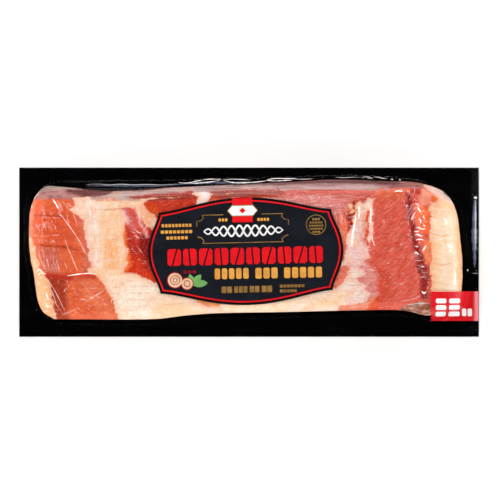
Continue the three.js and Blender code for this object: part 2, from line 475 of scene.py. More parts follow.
# kind, colour, how soft its rim is, its patterns and its outline. Lean and fat set where muscle is, tone only
# colours the muscle and cream only the fat.
patches = [
    ("cream", "#fdcfa2", 4, {"streak": 0.3, "net": 0.5}, [(-97, 27), (-83, 27), (-83, -17), (-97, -17)]),
    ("cream", "#fbb476", 3, {"streak": 0.3, "net": 0.5}, [(-94, 6), (-87, 8), (-86, -6), (-92, -13)]),
    ("cream", "#eeac90", 0.4, {}, [(-93, 8.9), (-82, 8.6), (-82, 8), (-93, 8.2)]),
    ("cream", "#f2b89c", 0.4, {}, [(-101, -3.2), (-86, -3.8), (-86, -4.4), (-101, -3.8)]),
    ("cream", "#e39a78", 0.5, {}, [(-99.6, 26.9), (-99.6, 27.7), (-90, 27.8), (-81, 28.8), (-81, 27.9),
     (-90, 27)]),
    ("cream", "#f9dccb", 4, {"streak": 1}, [(-108, 34), (-98, 32), (-97, -8), (-105, -14)]),
    ("cream", "#fff0dc", 5, {"net": 0.6, "rungs": 0.6}, [(-92, -15), (-60, -21), (-50, -46), (-84, -46)]),
    ("cream", "#fdd3a8", 4, {}, [(-60, -32), (-40, -34), (-40, -44), (-66, -44)]),
    ("cream", "#f3b894", 2.4, {"net": 0.6}, [(-71, 30), (-61, 25), (-62, 13), (-67, 16)]),
    ("lean", "#df673c", 2, {}, [(-136.5, 37), (-124, 36.6), (-115.6, 36), (-113.6, 31), (-114.6, 29),
     (-116, 27.4), (-113, 25.4), (-110.4, 23), (-107.5, 20.5), (-106.5, 17), (-107, 13), (-106.3, 9.5),
     (-104.8, 6), (-104, 2.5), (-104.5, -2), (-104, -6), (-103, -9), (-104.5, -11.5), (-103.5, -13.6),
     (-99.5, -14.4), (-97, -17), (-95.5, -20), (-93.4, -23.5), (-91, -26.5), (-89, -29.5), (-88, -33),
     (-86.6, -37), (-85.3, -46), (-126, -46), (-126, -38.5), (-126.6, -35), (-127.2, -31), (-128, -27),
     (-129.5, -22), (-131, -18), (-132.2, -15), (-134, -12), (-136, -10), (-137.4, -5), (-138.6, 0),
     (-139.4, 5), (-140.6, 9), (-152, 14), (-152, 28), (-146, 34)]),
    ("tone", "#e08a62", 1.2, {"marble": 0.45}, [(-152, 36), (-140, 34), (-139.6, 26), (-140.4, 14),
     (-142, 8), (-152, 6)]),
    ("tone", "#da5c34", 5, {}, [(-140, 16), (-128, 4), (-112, 0), (-112, 22), (-126, 28), (-138, 28)]),
    ("tone", "#d9735c", 3, {}, [(-112, 25), (-104, 20), (-102, -14), (-108, -12), (-107, 4)]),
    ("tone", "#a83a20", 3, {}, [(-133, -14), (-119, -16), (-117, -46), (-128, -46)]),
    ("tone", "#b83220", 1.2, {}, [(-132, -13.6), (-118, -15), (-98, -14.4), (-99, -17.4), (-118, -18.4),
     (-131, -17)]),
    ("tone", "#cf6650", 2, {"streak": 0.35}, [(-138, 3), (-124, 3), (-123, -13), (-134, -13)]),
    ("tone", "#e4774f", 4, {"fibre": 0.4}, [(-112, -17), (-97, -19), (-86, -38), (-90, -46), (-106, -30)]),
    ("tone", "#b5401f", 0.9, {}, [(-138, 5.2), (-118, 4.2), (-110, 1), (-118, 2.6), (-134, 3.8)]),
    ("tone", "#b5401f", 0.7, {}, [(-141, 24.6), (-128, 24), (-117, 22.8), (-117, 22), (-128, 23),
     (-141, 23.8)]),
    ("lean", "#b82c1e", 2, {}, [(-83, 28.4), (-80, 29.4), (-77, 28.6), (-73.6, 28.3), (-71.6, 24.6),
     (-69.6, 21.5), (-67.6, 18.5), (-65.6, 16.4), (-62, 14), (-50, 10), (-50, -19), (-60.5, -20),
     (-63.5, -18.8), (-67, -16.8), (-71, -14.8), (-75, -13.5), (-80.4, -13.2), (-80.6, -10), (-79.2, -7),
     (-79.6, -3), (-78.4, 0), (-79.6, 4), (-81.2, 8), (-81.6, 12), (-80.4, 16), (-79.4, 20), (-80.8, 24)]),
    # a lighter, pinker tone, partly the muscle's own and partly painted glare of the film
    ("tone", "#d8584a", 2, {}, [(-80, 30), (-73, 29), (-66, 14), (-72, 6), (-79, 16)]),
    ("tone", "#d03812", 2, {}, [(-80, -1), (-73.4, -3), (-70, -9), (-60, -15), (-56, -22), (-80, -16)]),
    ("tone", "#f67c3c", 1.3, {}, [(-86, 18), (-80.8, 17), (-79.4, 8), (-77.6, 0), (-77.4, -10),
     (-79.4, -12.6), (-86, -13)]),
    ("tone", "#a8281a", 2, {}, [(-69.6, -3), (-62, -3), (-62, -12), (-66.6, -11)]),
    ("tone", "#cf6a6c", 1.1, {"marble": 0.45}, [(-83.4, 29.4), (-79.6, 29), (-75.6, 21), (-73.4, 15.4),
     (-74.2, 12.4), (-76.8, 16), (-79.6, 22.6)]),
    ("tone", "#8c120e", 1.8, {}, [(-71.6, 12.6), (-66.4, 11), (-63, 6), (-63, -3), (-68, -5), (-70.6, 3)]),
    ("tone", "#f0b6b2", 0.9, {}, [(-74, 28.6), (-72, 28), (-69.4, 20), (-65, 9.6), (-66.4, 9.4),
     (-70.6, 18.6), (-72.4, 22.4)]),
    ("tone", "#fcc8c6", 0.7, {}, [(-83.4, 27.4), (-81.2, 27.4), (-77.6, 20), (-78, 18), (-81.4, 22)]),
    ("lean", "#c43a20", 2, {}, [(-69.2, 30), (-68, 32.6), (-65, 34.6), (-60, 34.9), (-50, 35.2),
     (-42, 36.2), (-35, 37.2), (-33.6, 35.6), (-35, 32), (-36, 24), (-55, 18), (-60.4, 22.2), (-62.4, 24.6),
     (-66, 28)]),
    ("tone", "#d24a14", 2, {}, [(-70, 31), (-64, 32), (-57, 27), (-58, 20)]),
    ("lean", "#cd5f52", 2, {"marble": 0.75}, [(-27.4, 30), (-27, 34.4), (-24, 37.6), (-8, 38.4), (20, 40),
     (50, 40.4), (82, 40), (84, 36), (79.6, 34), (76, 35.2), (74.4, 31.5), (72, 33), (69.6, 32.6),
     (69.6, 28), (67.6, 24.6), (66.6, 19), (65.4, 13.6), (63.6, 9), (62.6, 1), (61.4, -6), (50, -6),
     (40, 20), (0, 28)]),
    ("tone", "#dd817c", 3, {"marble": 0.95}, [(-4, 30), (14, 37.6), (50, 37.4), (62, 33), (56, 18),
     (20, 28)]),
    ("tone", "#d8695f", 1.4, {"marble": 0.15}, [(-24, 37.4), (5, 38), (40, 38), (82, 37), (84, 41),
     (-24, 41)]),
    ("tone", "#e06a40", 1.6, {"marble": 0.2}, [(-27.4, 33), (-24, 38.5), (-19, 38), (-20, 33)]),
    ("tone", "#dc6a58", 3, {"streak": 0.9}, [(50, 24), (68, 30), (68, 12), (62, -8), (50, -8)]),
    ("tone", "#ec7450", 2.4, {"streak": 0.6}, [(57, 17), (65, 23), (66, 10), (62, 3), (58, 4)]),
    ("tone", "#c84c34", 1.6, {"marble": 0.5}, [(66, 33), (73, 35), (78, 37), (78, 33), (70, 30)]),
    ("fat", "#f8ddcb", 2, {}, [(69, 30.4), (71.8, 32.8), (74.2, 31.4), (76.4, 34.6), (78.8, 34), (79, 27),
     (78.6, 17), (78, 8), (76.6, 3), (77, -4), (76.8, -10), (77.6, -22), (78, -26), (76, -32), (58, -38.5),
     (20, -42), (40, -30), (57.4, -24.6), (60.8, -21), (62.4, -15.6), (64.6, -12.4), (62.6, -9), (60.4, -8),
     (61.8, 0), (64.4, 5), (66, 12), (67.8, 20), (68.8, 24)]),
    ("cream", "#f3cdc8", 2, {"rungs": 1, "net": 0.7}, [(69, 28), (76, 28), (77, -12), (62, -12), (66, 8)]),
    ("cream", "#f6e0d6", 3, {"rungs": 0.7, "net": 0.7}, [(62, -12), (77, -12), (78, -34), (60, -36)]),
    ("cream", "#fbdcb8", 3, {"net": 0.6}, [(40, -32), (62, -24), (62, -33), (30, -40)]),
    ("cream", "#e4a098", 1.2, {}, [(72.6, 25), (75, 24), (76.4, 12), (75.8, 3), (73.2, 8), (72.6, 17)]),
    ("lean", "#e04c18", 1, {}, [(76.4, 27), (78, 27.4), (77.8, 10), (77.2, 4), (75.4, 6), (76, 16)]),
    ("fat", "#f6e2d8", 1, {}, [(78.6, 29), (79.8, 29), (79.6, 12), (79.4, 6), (78.4, 9), (78.4, 20)]),
    ("fat", "#f4c48c", 1, {}, [(64.4, 30.6), (65.6, 32), (67.4, 31), (68.6, 27.4), (68.8, 25.2), (65, 25.4),
     (66.2, 27.6)]),
    ("lean", "#9c1808", 0.8, {}, [(67.6, 31.6), (69.2, 30), (69.4, 27), (68.4, 24.4), (67.2, 19),
     (66.4, 14.6), (65.4, 15), (65.6, 20), (65, 24.6), (68, 26)]),
    ("lean", "#e5765a", 1.2, {"marble": 0.3}, [(60.4, -9.6), (64.6, -9), (65.6, -11), (63.2, -13.4),
     (61.8, -17), (59.6, -21), (56.6, -23.8), (55, -23), (55, -10)]),
    ("lean", "#dd8a82", 1.5, {"marble": 0.55}, [(77.6, -3), (74.4, -6), (76.4, -8.4), (70.8, -9.4),
     (75.4, -12.6), (74.6, -14.6), (69.4, -17), (72, -20.6), (77.4, -21.4), (75, -24.4), (78.4, -26.4),
     (77, -32), (79.4, -34), (88, -34), (88, -3)]),
    ("lean", "#e0815f", 1.5, {"marble": 0.6}, [(58, -35), (70, -33.6), (77, -31.6), (88, -30), (88, -40),
     (58, -40.6)]),
    ("lean", "#d94e1e", 1, {}, [(83.6, -30), (82, -33), (79, -34.6), (77, -38.4), (84, -38.4)]),
    ("lean", "#d85a4a", 2, {"fibre": 1.0}, [(82.4, 41), (83, 37), (80.6, 34), (80.2, 25), (80.4, 15),
     (79.4, 8), (77.4, 4), (77.4, -3), (80, -7.6), (83, -11), (84.2, -15), (84, -20), (86, -25),
     (87.4, -30), (84.6, -34), (85, -38.6), (97, -38), (104, -34), (111.6, -31.6), (118, -33.6), (118, -20),
     (117.6, -8), (118.4, 4), (117.2, 12), (118, 24), (116.6, 28), (117, 31), (121.6, 32.4), (122.4, 35),
     (119.6, 37.6), (116, 40.4), (112, 43.6), (104, 44.8), (98, 45)]),
    ("tone", "#da6848", 3, {"fibre": 0.6}, [(82, 42), (101, 44), (101, 35), (82, 34)]),
    ("tone", "#cf4c34", 2, {"fibre": 0.8}, [(84, -10), (90, -12), (91, -36), (84, -36)]),
    ("tone", "#f29a80", 2, {"marble": 0.3}, [(109, 41), (114, 41), (124, 35), (120, 31), (110, 31)]),
    ("tone", "#880702", 1.8, {"fibre": 0.1}, [(101.4, 38), (104, 38.4), (106.4, 31), (105.4, 24),
     (108.4, 16), (109.4, 8), (113.4, -4), (116.4, -10), (115.8, -31), (111.4, -31), (110.6, -18),
     (108.6, -9), (106.6, 0), (105, 10), (103.4, 20), (102, 28)]),
    ("tone", "#b43222", 1.5, {"fibre": 0.1}, [(104, 43.4), (112, 43), (111, 37), (105, 38)]),
    ("tone", "#f06828", 1.2, {"marble": 0.25}, [(108.4, 29), (112, 31), (118.4, 26), (118, 13), (115.6, 11),
     (109, 17), (108.4, 22)]),
    ("tone", "#ee8450", 1.0, {"marble": 0.25}, [(113.4, 8), (118, 7), (118, -5), (115.4, -8), (113, -3)]),
    ("fat", "#fee2c4", 2, {}, [(118.6, 31.6), (117.4, 29), (118.6, 23), (117.6, 13), (118.4, 5),
     (117.6, -7), (118, -20), (118.6, -32.6), (118, -45), (150, -45), (150, 50), (118, 50), (121, 40),
     (123, 36), (122, 32)]),
    ("cream", "#fdd0a2", 3, {}, [(117, 10), (124, 6), (122, -30), (116, -30)]),
    ("cream", "#fac8a0", 4, {}, [(118, 34), (130, 40), (140, 34), (132, 24), (120, 24)]),
    ("cream", "#f6b274", 3, {}, [(134.4, 34), (144, 34), (144, -40), (135.6, -40)]),
    ("fat", "#8c5a48", 1, {}, [(95, -38.6), (99, -35.6), (110, -33), (120, -33.8), (120, -46), (95, -46)]),
    ("lean", "#8e4430", 1.2, {}, [(107, -36.6), (112, -35.6), (118, -35), (119, -36.8), (113, -37),
     (109, -37.6)]),
    ("fat", "#fdf2ee", 1, {}, [(-33.6, 30), (-34.2, 35), (-33, 39.6), (-27.4, 39.6), (-26.6, 36),
     (-27.4, 30)]),
    ("lean", "#ee9d66", 3, {}, [(-35, -30), (-32.6, -33), (-26, -35.6), (-19, -35.2), (-18, -30)]),
    ("cream", "#efb27e", 2, {}, [(-146, 8), (-139.4, 6), (-137, -9), (-132, -16), (-126, -34), (-128, -46),
     (-146, -46)]),
    ("cream", "#f4bd94", 0.6, {}, [(118, 12.8), (126, 10.8), (134, 12.2), (134, 11.4), (126, 9.8),
     (118, 11.8)]),
    ("cream", "#f4b890", 0.6, {}, [(118, -6.6), (124, -8), (131, -7), (131, -7.8), (124, -9), (118, -7.6)]),
    # the broad face of the last slice, along the upper edge, its colours darkened with painted shade where it
    # leans away under the film
    ("fat", "#ab9a90", 0.8, {"calm": 1}, [(-150, 50), (-139, 38), (-135, 38.6), (-126, 39.6), (-114, 40.4),
     (-106, 40.2), (-96, 39.8), (-96, 50)]),
    ("lean", "#ad7c79", 1, {"calm": 1}, [(-141, 36), (-137, 38.8), (-128, 40.2), (-114, 40.8), (-102, 39.4),
     (-90, 38.4), (-97, 36.6), (-108, 35.6), (-114, 35.6), (-124, 36.2)]),
    ("tone", "#8c4440", 0.6, {"calm": 1}, [(-137, 38.2), (-128, 39.4), (-121, 39.6), (-128, 38.7)]),
    ("lean", "#5c2024", 1.2, {"calm": 0.4}, [(-118, 40.2), (-104, 41.6), (-94, 41.4), (-82, 40.4),
     (-89, 38.8), (-97, 36.8), (-106, 36.2), (-111, 38)]),
    ("fat", "#c0a59b", 0.8, {"calm": 1}, [(-102, 35.4), (-95, 36.8), (-88, 38.4), (-80, 41), (-60, 42),
     (-36, 43), (-36, 46), (-60, 46), (-82, 42.4), (-70, 38.4), (-72, 35.2), (-90, 34.8)]),
    ("lean", "#633334", 0.7, {"calm": 1}, [(-80, 40), (-70, 39.5), (-60, 40.8), (-50, 42.2), (-36, 43),
     (-36, 46), (-60, 46), (-82, 44)]),
    ("fat", "#b9a29e", 0.6, {"calm": 1}, [(-82, 36.6), (-70, 37.4), (-60, 38.6), (-46, 39.4), (-33, 40.4),
     (-33, 42.4), (-46, 41.8), (-56, 40.6), (-70, 39.2), (-82, 38.8)]),
    ("lean", "#a03c30", 0.8, {"calm": 0.7}, [(-76, 34.4), (-60, 34.8), (-46, 35.5), (-37, 36.4),
     (-37, 39.6), (-46, 38.9), (-60, 38), (-70, 37), (-78, 36.2)]),
    ("tone", "#b8360f", 1, {}, [(-27, 34.6), (-26, 38.6), (-14, 38.6), (0, 38), (10, 37.6), (18, 36.6),
     (24, 35), (8, 35.6), (-10, 35.6)]),
    ("lean", "#5f3338", 0.9, {"calm": 1}, [(8, 42.4), (30, 44), (60, 45), (92, 43.6), (104, 43.4),
     (104, 50), (8, 50)]),
    ("fat", "#794450", 0.6, {"calm": 1}, [(-8, 39.8), (30, 42), (60, 42.6), (88, 42), (94, 43.6),
     (60, 44.8), (30, 44.2), (0, 42.6)]),
    ("fat", "#935f64", 0.8, {"calm": 1}, [(74, 42.4), (86, 41.4), (100, 42), (113, 42.8), (106, 44.8),
     (90, 45.2), (76, 45)]),
    ("fat", "#a8928e", 0.6, {"calm": 1}, [(-34, 40.4), (-20, 40.4), (0, 42.4), (16, 43.8), (0, 44.6),
     (-20, 43.6), (-34, 44)]),
    ("lean", "#a85a54", 0.7, {"calm": 1}, [(-26, 37.8), (-10, 37.8), (4, 38.4), (20, 39.2), (20, 41.2),
     (0, 41.2), (-10, 40.6), (-26, 40.2)]),
    ("fat", "#bca4a2", 0.5, {"calm": 1}, [(-4, 40.6), (14, 40.8), (50, 41.4), (76, 40.8), (90, 40.2),
     (84, 41.6), (72, 42.4), (50, 42.6), (14, 41.6), (-4, 41.4)]),
    ("fat", "#60423f", 0.6, {"calm": 1}, [(-10, 44.4), (0, 45), (30, 46.4), (60, 47), (90, 45.8), (104, 45),
     (110, 44.4), (112, 52), (-10, 52)]),
    ("lean", "#9a605c", 0.7, {"calm": 1}, [(98, 43.8), (112, 43), (114, 43.6), (112, 50), (98, 50)]),
    ("fat", "#ecccc2", 1, {"calm": 0.3}, [(113, 43.6), (116, 40.8), (119.6, 38.2), (122.6, 36.4),
     (126, 35.6), (131, 33.8), (140, 36), (130, 50), (114, 50)]),
    ("tone", "#e8703c", 1, {}, [(117.6, 37), (122.6, 37), (122.4, 32.6), (118, 32.6)]),
    ("cream", "#ec8670", 0.5, {}, [(-101, 32.4), (-97, 34.4), (-88, 35), (-84, 33.4), (-81, 31.8),
     (-86, 33), (-92, 33.6), (-98, 33)]),
]


def paintMeat(x, y):
    # where muscle is, and the tints, marbling and fibre at each point
    fields = {
        "lean": np.full(len(x), meat["noLean"]),
        "leanTint": np.tile(paint(meat["lean"]), (len(x), 1)),
        "fatTint": np.tile(paint(meat["fat"]), (len(x), 1)),
        "marble": np.zeros(len(x)),
        "fibre": np.zeros(len(x)),
        "streak": np.zeros(len(x)),
        "calm": np.zeros(len(x)),
        "net": np.full(len(x), meat["plainNet"]),
        "rungs": np.zeros(len(x)),
    }
    for kind, colour, soft, patterns, outline in patches:
        inside = insideDistance(x, y, outline)
        spread = meat["overlap"] if kind in ("lean", "fat") else 0.0
        share = smooth(inside + spread, -soft, soft)
        isLean = kind in ("lean", "tone")
        tint = "leanTint" if isLean else "fatTint"
        fields[tint] = mix(fields[tint], paint(colour), share[:, None])
        if kind == "lean":
            fields["lean"] = np.maximum(fields["lean"], inside)
        if kind == "fat":
            fields["lean"] = np.minimum(fields["lean"], -inside)
        for key in ("marble", "fibre", "streak") if isLean else ("net", "rungs", "streak"):
            fields[key] = mix(fields[key], patterns.get(key, 0.0), share)
        fields["calm"] = mix(fields["calm"], patterns.get("calm", 0.0), share)
    fields["leanTint"] = np.minimum(fields["leanTint"] * meat["leanGain"], 1)
    return fields


sliceStand = rng.uniform(0, meat["stand"], stack["sliceCount"])
sliceShift = rng.uniform(-1, 1, stack["sliceCount"]) * meat["sliceShift"]
sliceEnd = rng.uniform(0, meat["endSpread"], (stack["sliceCount"], 2))
# how strongly each joint between slices is darkened with painted shade
creaseShade = rng.uniform(0, 1, stack["sliceCount"] + 1) ** meat["creaseShadePower"]


def edgeAt(edge, x):
    return mix(lowerLip(x), upperRidge(x), edge / stack["sliceCount"])


def leanAt(edge, x, share):
    # how far a face has moved towards its foot, at a share of its height
    reach = mix(meat["lowerLean"], upperMeat(x) - upperRidge(x), edge / stack["sliceCount"])
    return reach * (1 - np.clip((share - meat["floor"]) / (1 - meat["floor"]), 0, 1) ** 1.5)


def meatTop(x, y, slice, across):
    rounding = meat["rounding"] * np.abs(2 * across - 1) ** 7
    large, largeSize, small, smallSize = meat["lumps"]
    lumps = large * hills(x, y, largeSize, 5) + small * hills(x, y, smallSize, 6)
    dip = meat["tuck"] * furrowDepth(x, y)
    return filmHeight(x, y) - meat["cover"] - sliceStand[slice] - rounding - dip + np.minimum(lumps, large)


def sliceRings(slice):
    # closed rings of points from the left end to the right end, as x, y, z, depth, crease and side
    wobble = meat["endCrowding"] / (2 * math.pi)
    steps = np.linspace(0, 1, meat["stations"])
    steps = steps - wobble * np.sin(2 * math.pi * steps)
    low = pack["web"] + meat["underside"]
    guess = mix(*meat["guess"], steps)

    def placed(y):
        # stations between the pack's two ends at this height up the photograph
        right = rightEnd(np.minimum(y, meat["cornerY"])) - sliceEnd[slice, 1]
        return mix(leftEnd(y) + sliceEnd[slice, 0], right, steps)

    # the ends are rounded over within the first stations
    fromEnd = np.minimum(steps, 1 - steps) * meat["span"]
    over = mix(meat["endDrop"], 1, smooth(fromEnd, 0, meat["endRound"]))
    sideShown = smooth(fromEnd, *meat["endPlain"])
    columns = []

    def add(x, y, z, depth, crease, side):
        ceiling = np.maximum(filmHeight(x, y) - meat["cover"] * 0.8, low)
        z = np.minimum(mix(low, z, over), ceiling)
        columns.append((x, y, z, x * 0 + depth, x * 0 + crease, side * sideShown))

    def face(edge, shares, isUpper):
        inset = -meat["gap"] if isUpper else meat["gap"]
        topY = edgeAt(edge, guess) + inset
        topX = placed(topY)
        top = meatTop(topX, topY, slice, 1.0)
        isLast = isUpper and slice == stack["sliceCount"] - 1
        for share in shares:
            y = topY + leanAt(edge, topX, share)
            depth = (top - low) * (1 - share)
            side = smooth(depth, *meat["lastSide" if isLast else "otherSide"])
            add(placed(y), y, mix(low, top, share), depth, 0, side)

    face(slice, meat["faceShares"], False)
    for across in meat["topShares"]:
        y = mix(edgeAt(slice, guess) + meat["gap"], edgeAt(slice + 1, guess) - meat["gap"], across)
        x = placed(y)
        crease = creaseShade[slice] * (across == 0) + creaseShade[slice + 1] * (across == 1)
        add(x, y, meatTop(x, y, slice, across), 0, crease, 0)
    face(slice + 1, meat["faceShares"][::-1], True)
    middle = edgeAt(slice + 0.5, guess) + leanAt(slice + 0.5, guess, 0)
    add(placed(middle), middle, guess * 0 + low, meat["middleDepth"], 0, 1)
    return np.array(columns).transpose(2, 0, 1)


def buildSlices(material):
    vertices, faces, numbers = [], [], []
    start = 0
    for slice in range(stack["sliceCount"]):
        rings = sliceRings(slice)
        stations, points = rings.shape[:2]
        index = start + np.arange(stations * points).reshape(stations, points)
        following = np.roll(index, -1, axis=1)
        quads = np.stack([index[:-1], index[1:], following[1:], following[:-1]], -1).reshape(-1, 4)
        faces += quads.tolist()
        capStart = start + stations * points
        faces += [(capStart, a, b) for a, b in zip(index[0], following[0])]
        faces += [(capStart + 1, b, a) for a, b in zip(index[-1], following[-1])]
        rows = np.concatenate([rings.reshape(-1, 6), rings[[0, -1]].mean(1)])
        vertices.append(rows[:, :3])
        numbers.append(np.column_stack([rows[:, 0] + sliceShift[slice], rows[:, 1], rows[:, 3:]]))
        start += len(rows)
    vertices, numbers = np.concatenate(vertices), np.concatenate(numbers)
    slices = toObject("bacon_slices", vertices, faces, material)
    slices.data.set_sharp_from_angle(angle=math.radians(meat["sharpAngle"]))
    fields = paintMeat(numbers[:, 0], numbers[:, 1])
    for key in ("lean", "marble", "fibre", "streak", "calm", "net", "rungs"):
        addNumbers(slices, key, fields[key])
    addNumbers(slices, "crease", numbers[:, 3])
    addNumbers(slices, "side", numbers[:, 4])
    addColours(slices, "leanTint", fields["leanTint"])
    addColours(slices, "fatTint", fields["fatTint"])
    return slices


def meatMaterial():
    m = Recipe("Bacon under film")
    # the edge between muscle and fat is ragged; down the sides the muscle lies in long layers
    ragged = m.math("ADD", m.math("MULTIPLY_ADD", m.noise(1.1, 5, 0.7), 2.8, -1.4),
                    m.math("MULTIPLY_ADD", m.noise((5, 2.6, 6), 3, 0.6), 3.0, -1.5))
    layers = m.math("MULTIPLY_ADD", m.noise((70, 70, 7), 3, 0.45, warp=0.6), 24.0, -11.2)
    isSide = m.number("side")
    lean = m.math("ADD", m.number("lean"), ragged)
    lean = m.math("ADD", m.math("MULTIPLY", lean, m.math("SUBTRACT", 1.0, isSide)),
                  m.math("MULTIPLY", layers, isSide))
    isLean = m.ramp(lean, -0.5, 0.5)
    # muscle: mottling, diagonal fibres, swirled veins and steep streaks
    leanTint = m.blend(isSide, m.tint("leanTint"), "#a84a3e")
    mottle = m.math("MULTIPLY", m.ramp(m.noise((6, 4, 7), 5, 0.65), 0.36, 0.66), 0.4)
    leanTint = m.blend(mottle, leanTint, m.blend(1.0, leanTint, "#d08a78", "MULTIPLY"))
    grainWay = -40
    pale = m.ramp(m.noise((5, 0.6, 3), 3, 0.6, turn=grainWay, warp=0.3), 0.5, 0.66)
    pale = m.math("MULTIPLY", pale, m.math("MULTIPLY_ADD", m.number("fibre"), 0.42, 0.08))
    leanTint = m.blend(pale, leanTint, "#f2a48e")
    deep = m.ramp(m.noise((8, 0.8, 3), 3, 0.6, turn=grainWay, warp=0.3), 0.46, 0.34)
    deep = m.math("MULTIPLY", deep, m.math("MULTIPLY_ADD", m.number("fibre"), 0.4, 0.08))
    leanTint = m.blend(deep, leanTint, "#b83a24")
    veins = m.ramp(m.noise((8, 1.7, 4), 5, 0.65, turn=-4, warp=1.6), 0.46, 0.66)
    leanTint = m.blend(m.math("MULTIPLY", veins, m.number("marble")), leanTint, "#ecc0b6")
    streaks = m.ramp(m.noise((1.1, 8, 4), 4, 0.62, turn=-12, warp=0.9), 0.47, 0.66)
    leanTint = m.blend(m.math("MULTIPLY", streaks, m.number("streak")), leanTint, "#f0c6bc")
    # fat: peach clouds, a pinker edge beside muscle and fine lengthwise lines
    fatTint = m.blend(isSide, m.tint("fatTint"), "#eccbb0")
    lively = m.math("SUBTRACT", 1.0, m.number("calm"))
    clouds = m.math("MULTIPLY", m.ramp(m.noise((7, 9, 9), 4, 0.6), 0.42, 0.66), 0.45)
    fatTint = m.blend(m.math("MULTIPLY", clouds, lively), fatTint, "#fbbf8a")
    pale = m.math("MULTIPLY", m.ramp(m.noise((3, 3.6, 4), 4, 0.6), 0.5, 0.7), 0.5)
    fatTint = m.blend(m.math("MULTIPLY", pale, lively), fatTint, "#fff0e4")
    # a net of fine rosy lines round small cells, and steep pale and rosy streaks
    wander = m.put("ShaderNodeTexNoise", {"Vector": m.stretched((3, 3, 3)), "Scale": 1.0, "Detail": 2.0})
    cellPlace = m.put("ShaderNodeVectorMath", {
        0: wander.outputs["Color"], 1: (0.9, 0.9, 0.9), 2: m.stretched((3.0, 2.9, 7))},
        operation="MULTIPLY_ADD").outputs[0]
    cells = m.put("ShaderNodeTexVoronoi", {"Vector": cellPlace, "Scale": 1.0}, feature="DISTANCE_TO_EDGE")
    net = m.math("MULTIPLY", m.ramp(cells.outputs[0], 0.13, 0.02), m.ramp(m.noise((6, 5, 6), 3), 0.36, 0.6))
    net = m.math("MULTIPLY", m.math("MULTIPLY", net, m.number("net")), lively)
    fatTint = m.blend(m.math("MULTIPLY", net, 0.75), fatTint, m.blend(1.0, fatTint, "#f2bea6", "MULTIPLY"))
    steep = m.noise((0.9, 9, 4), 4, 0.62, turn=-4, warp=0.7)
    fatStreak = m.math("MULTIPLY", m.number("streak"), lively)
    fatTint = m.blend(m.math("MULTIPLY", m.ramp(steep, 0.5, 0.64), fatStreak), fatTint, "#fff4ee")
    rosyStreak = m.math("MULTIPLY", m.ramp(steep, 0.46, 0.36), m.math("MULTIPLY", fatStreak, 0.6))
    fatTint = m.blend(rosyStreak, fatTint, "#f0b09c")
    rosy = m.math("MULTIPLY", m.ramp(lean, -4.0, -0.3), 0.4)
    fatTint = m.blend(rosy, fatTint, m.blend(1.0, fatTint, "#f6c2b4", "MULTIPLY"))
    lines = m.math("MULTIPLY", m.ramp(m.noise((14, 0.8, 2), 3, 0.6), 0.55, 0.68), 0.28)
    fatTint = m.blend(lines, fatTint, m.blend(1.0, fatTint, "#f2c4ac", "MULTIPLY"))
    colour = m.blend(isLean, fatTint, leanTint)
    # small pale and deep specks all over
    specks = m.noise((1.1, 1.0, 1.2), 4, 0.7)
    paler = m.blend(0.4, colour, "#ffeadc")
    deeper = m.blend(1.0, colour, "#dc9a80", "MULTIPLY")
    colour = m.blend(m.math("MULTIPLY", m.ramp(specks, 0.53, 0.68), 0.3), colour, paler)
    deepShare = m.math("MULTIPLY", m.ramp(specks, 0.47, 0.32), m.math("MULTIPLY_ADD", isLean, 0.25, 0.15))
    colour = m.blend(deepShare, colour, deeper)
    # long thin layers along the broad face of the last slice
    along = m.noise((34, 0.9, 2.2), 4, 0.6, warp=0.5)
    isCalm = m.number("calm")
    colour = m.blend(m.math("MULTIPLY", m.ramp(along, 0.52, 0.64), m.math("MULTIPLY", isCalm, 0.45)), colour,
                     m.blend(0.4, colour, "#e2c4bc"))
    colour = m.blend(m.math("MULTIPLY", m.ramp(along, 0.5, 0.36), m.math("MULTIPLY", isCalm, 0.6)), colour,
                     m.blend(1.0, colour, "#a86860", "MULTIPLY"))
    # painted shade along the joints between slices, stronger where the ladder rungs are
    crease = m.math("MULTIPLY", m.number("crease"), m.ramp(m.noise((6, 30, 9), 4, 0.6), 0.42, 0.6))
    crease = m.math("MULTIPLY", crease, m.math("MULTIPLY_ADD", m.number("rungs"), 0.6, 0.26))
    colour = m.blend(crease, colour, m.blend(1.0, colour, "#c8705c", "MULTIPLY"))
    grain = m.math("ADD", m.noise(0.8, 3, 0.6), m.noise((3.5, 1, 3), 3, 0.6, turn=grainWay))
    m.skin(Base_Color=colour, Roughness=m.ramp(m.noise(3, 2), 0.3, 0.7, 0.5, 0.7), Specular_IOR_Level=0.03,
           Normal=m.bump(grain, 0.3, 0.25))
    return m.material


# The clear film

film = {
    "spacing": 1.0,
    "thickness": 0.06,
    "tuck": 0.6,  # how much of a furrow the film follows
    "crinkles": [
        # a line, how far they spread from it, their height and their size along and across
        {"line": [(104, 36), (107, 22), (109.5, 8), (109, -3), (113, -12), (113, -30)],
         "spread": 4.5, "height": 0.42, "size": (2.6, 2.2)},
        {"line": [(-136, -9), (-135, -15)], "spread": 4, "height": 0.35, "size": (2.6, 2.4)},
        {"line": [(67, 30), (66.5, 4)], "spread": 2.6, "height": 0.22, "size": (1.8, 6)},
        {"line": [(79, 30), (79.5, 6)], "spread": 2.0, "height": 0.2, "size": (1.8, 6)},
        {"line": [(108, 30), (112, 28)], "spread": 5, "height": 0.4, "size": (2.4, 2.6)},
        {"line": [(-128, -39), (-121, -41)], "spread": 4, "height": 0.3, "size": (2.2, 2.2)},
    ],
    "ripple": 0.05,
    "fineRipple": 0.03,
    "pleat": 0.55,       # the long loose pleats over the air beside the last slice
    "flange": 0.1,       # how far the sealed rim waves
    "flatShine": 0.05,
    "looseShine": 0.16,
    "beadShine": (0.2, 0.5),
    "beadSpread": 1.6,
    "beadMiddle": (18, 22, 12),  # its brightest place along Y, and where it has faded and is full
    "rimGap": 0.2,       # how much smaller than the web the film is
    "webGap": 0.05,
    "gloss": 0.022,      # what each side of the film mirrors, seen from above
    "sparkle": 4.0,      # how much more the crests mirror where it is crumpled
}


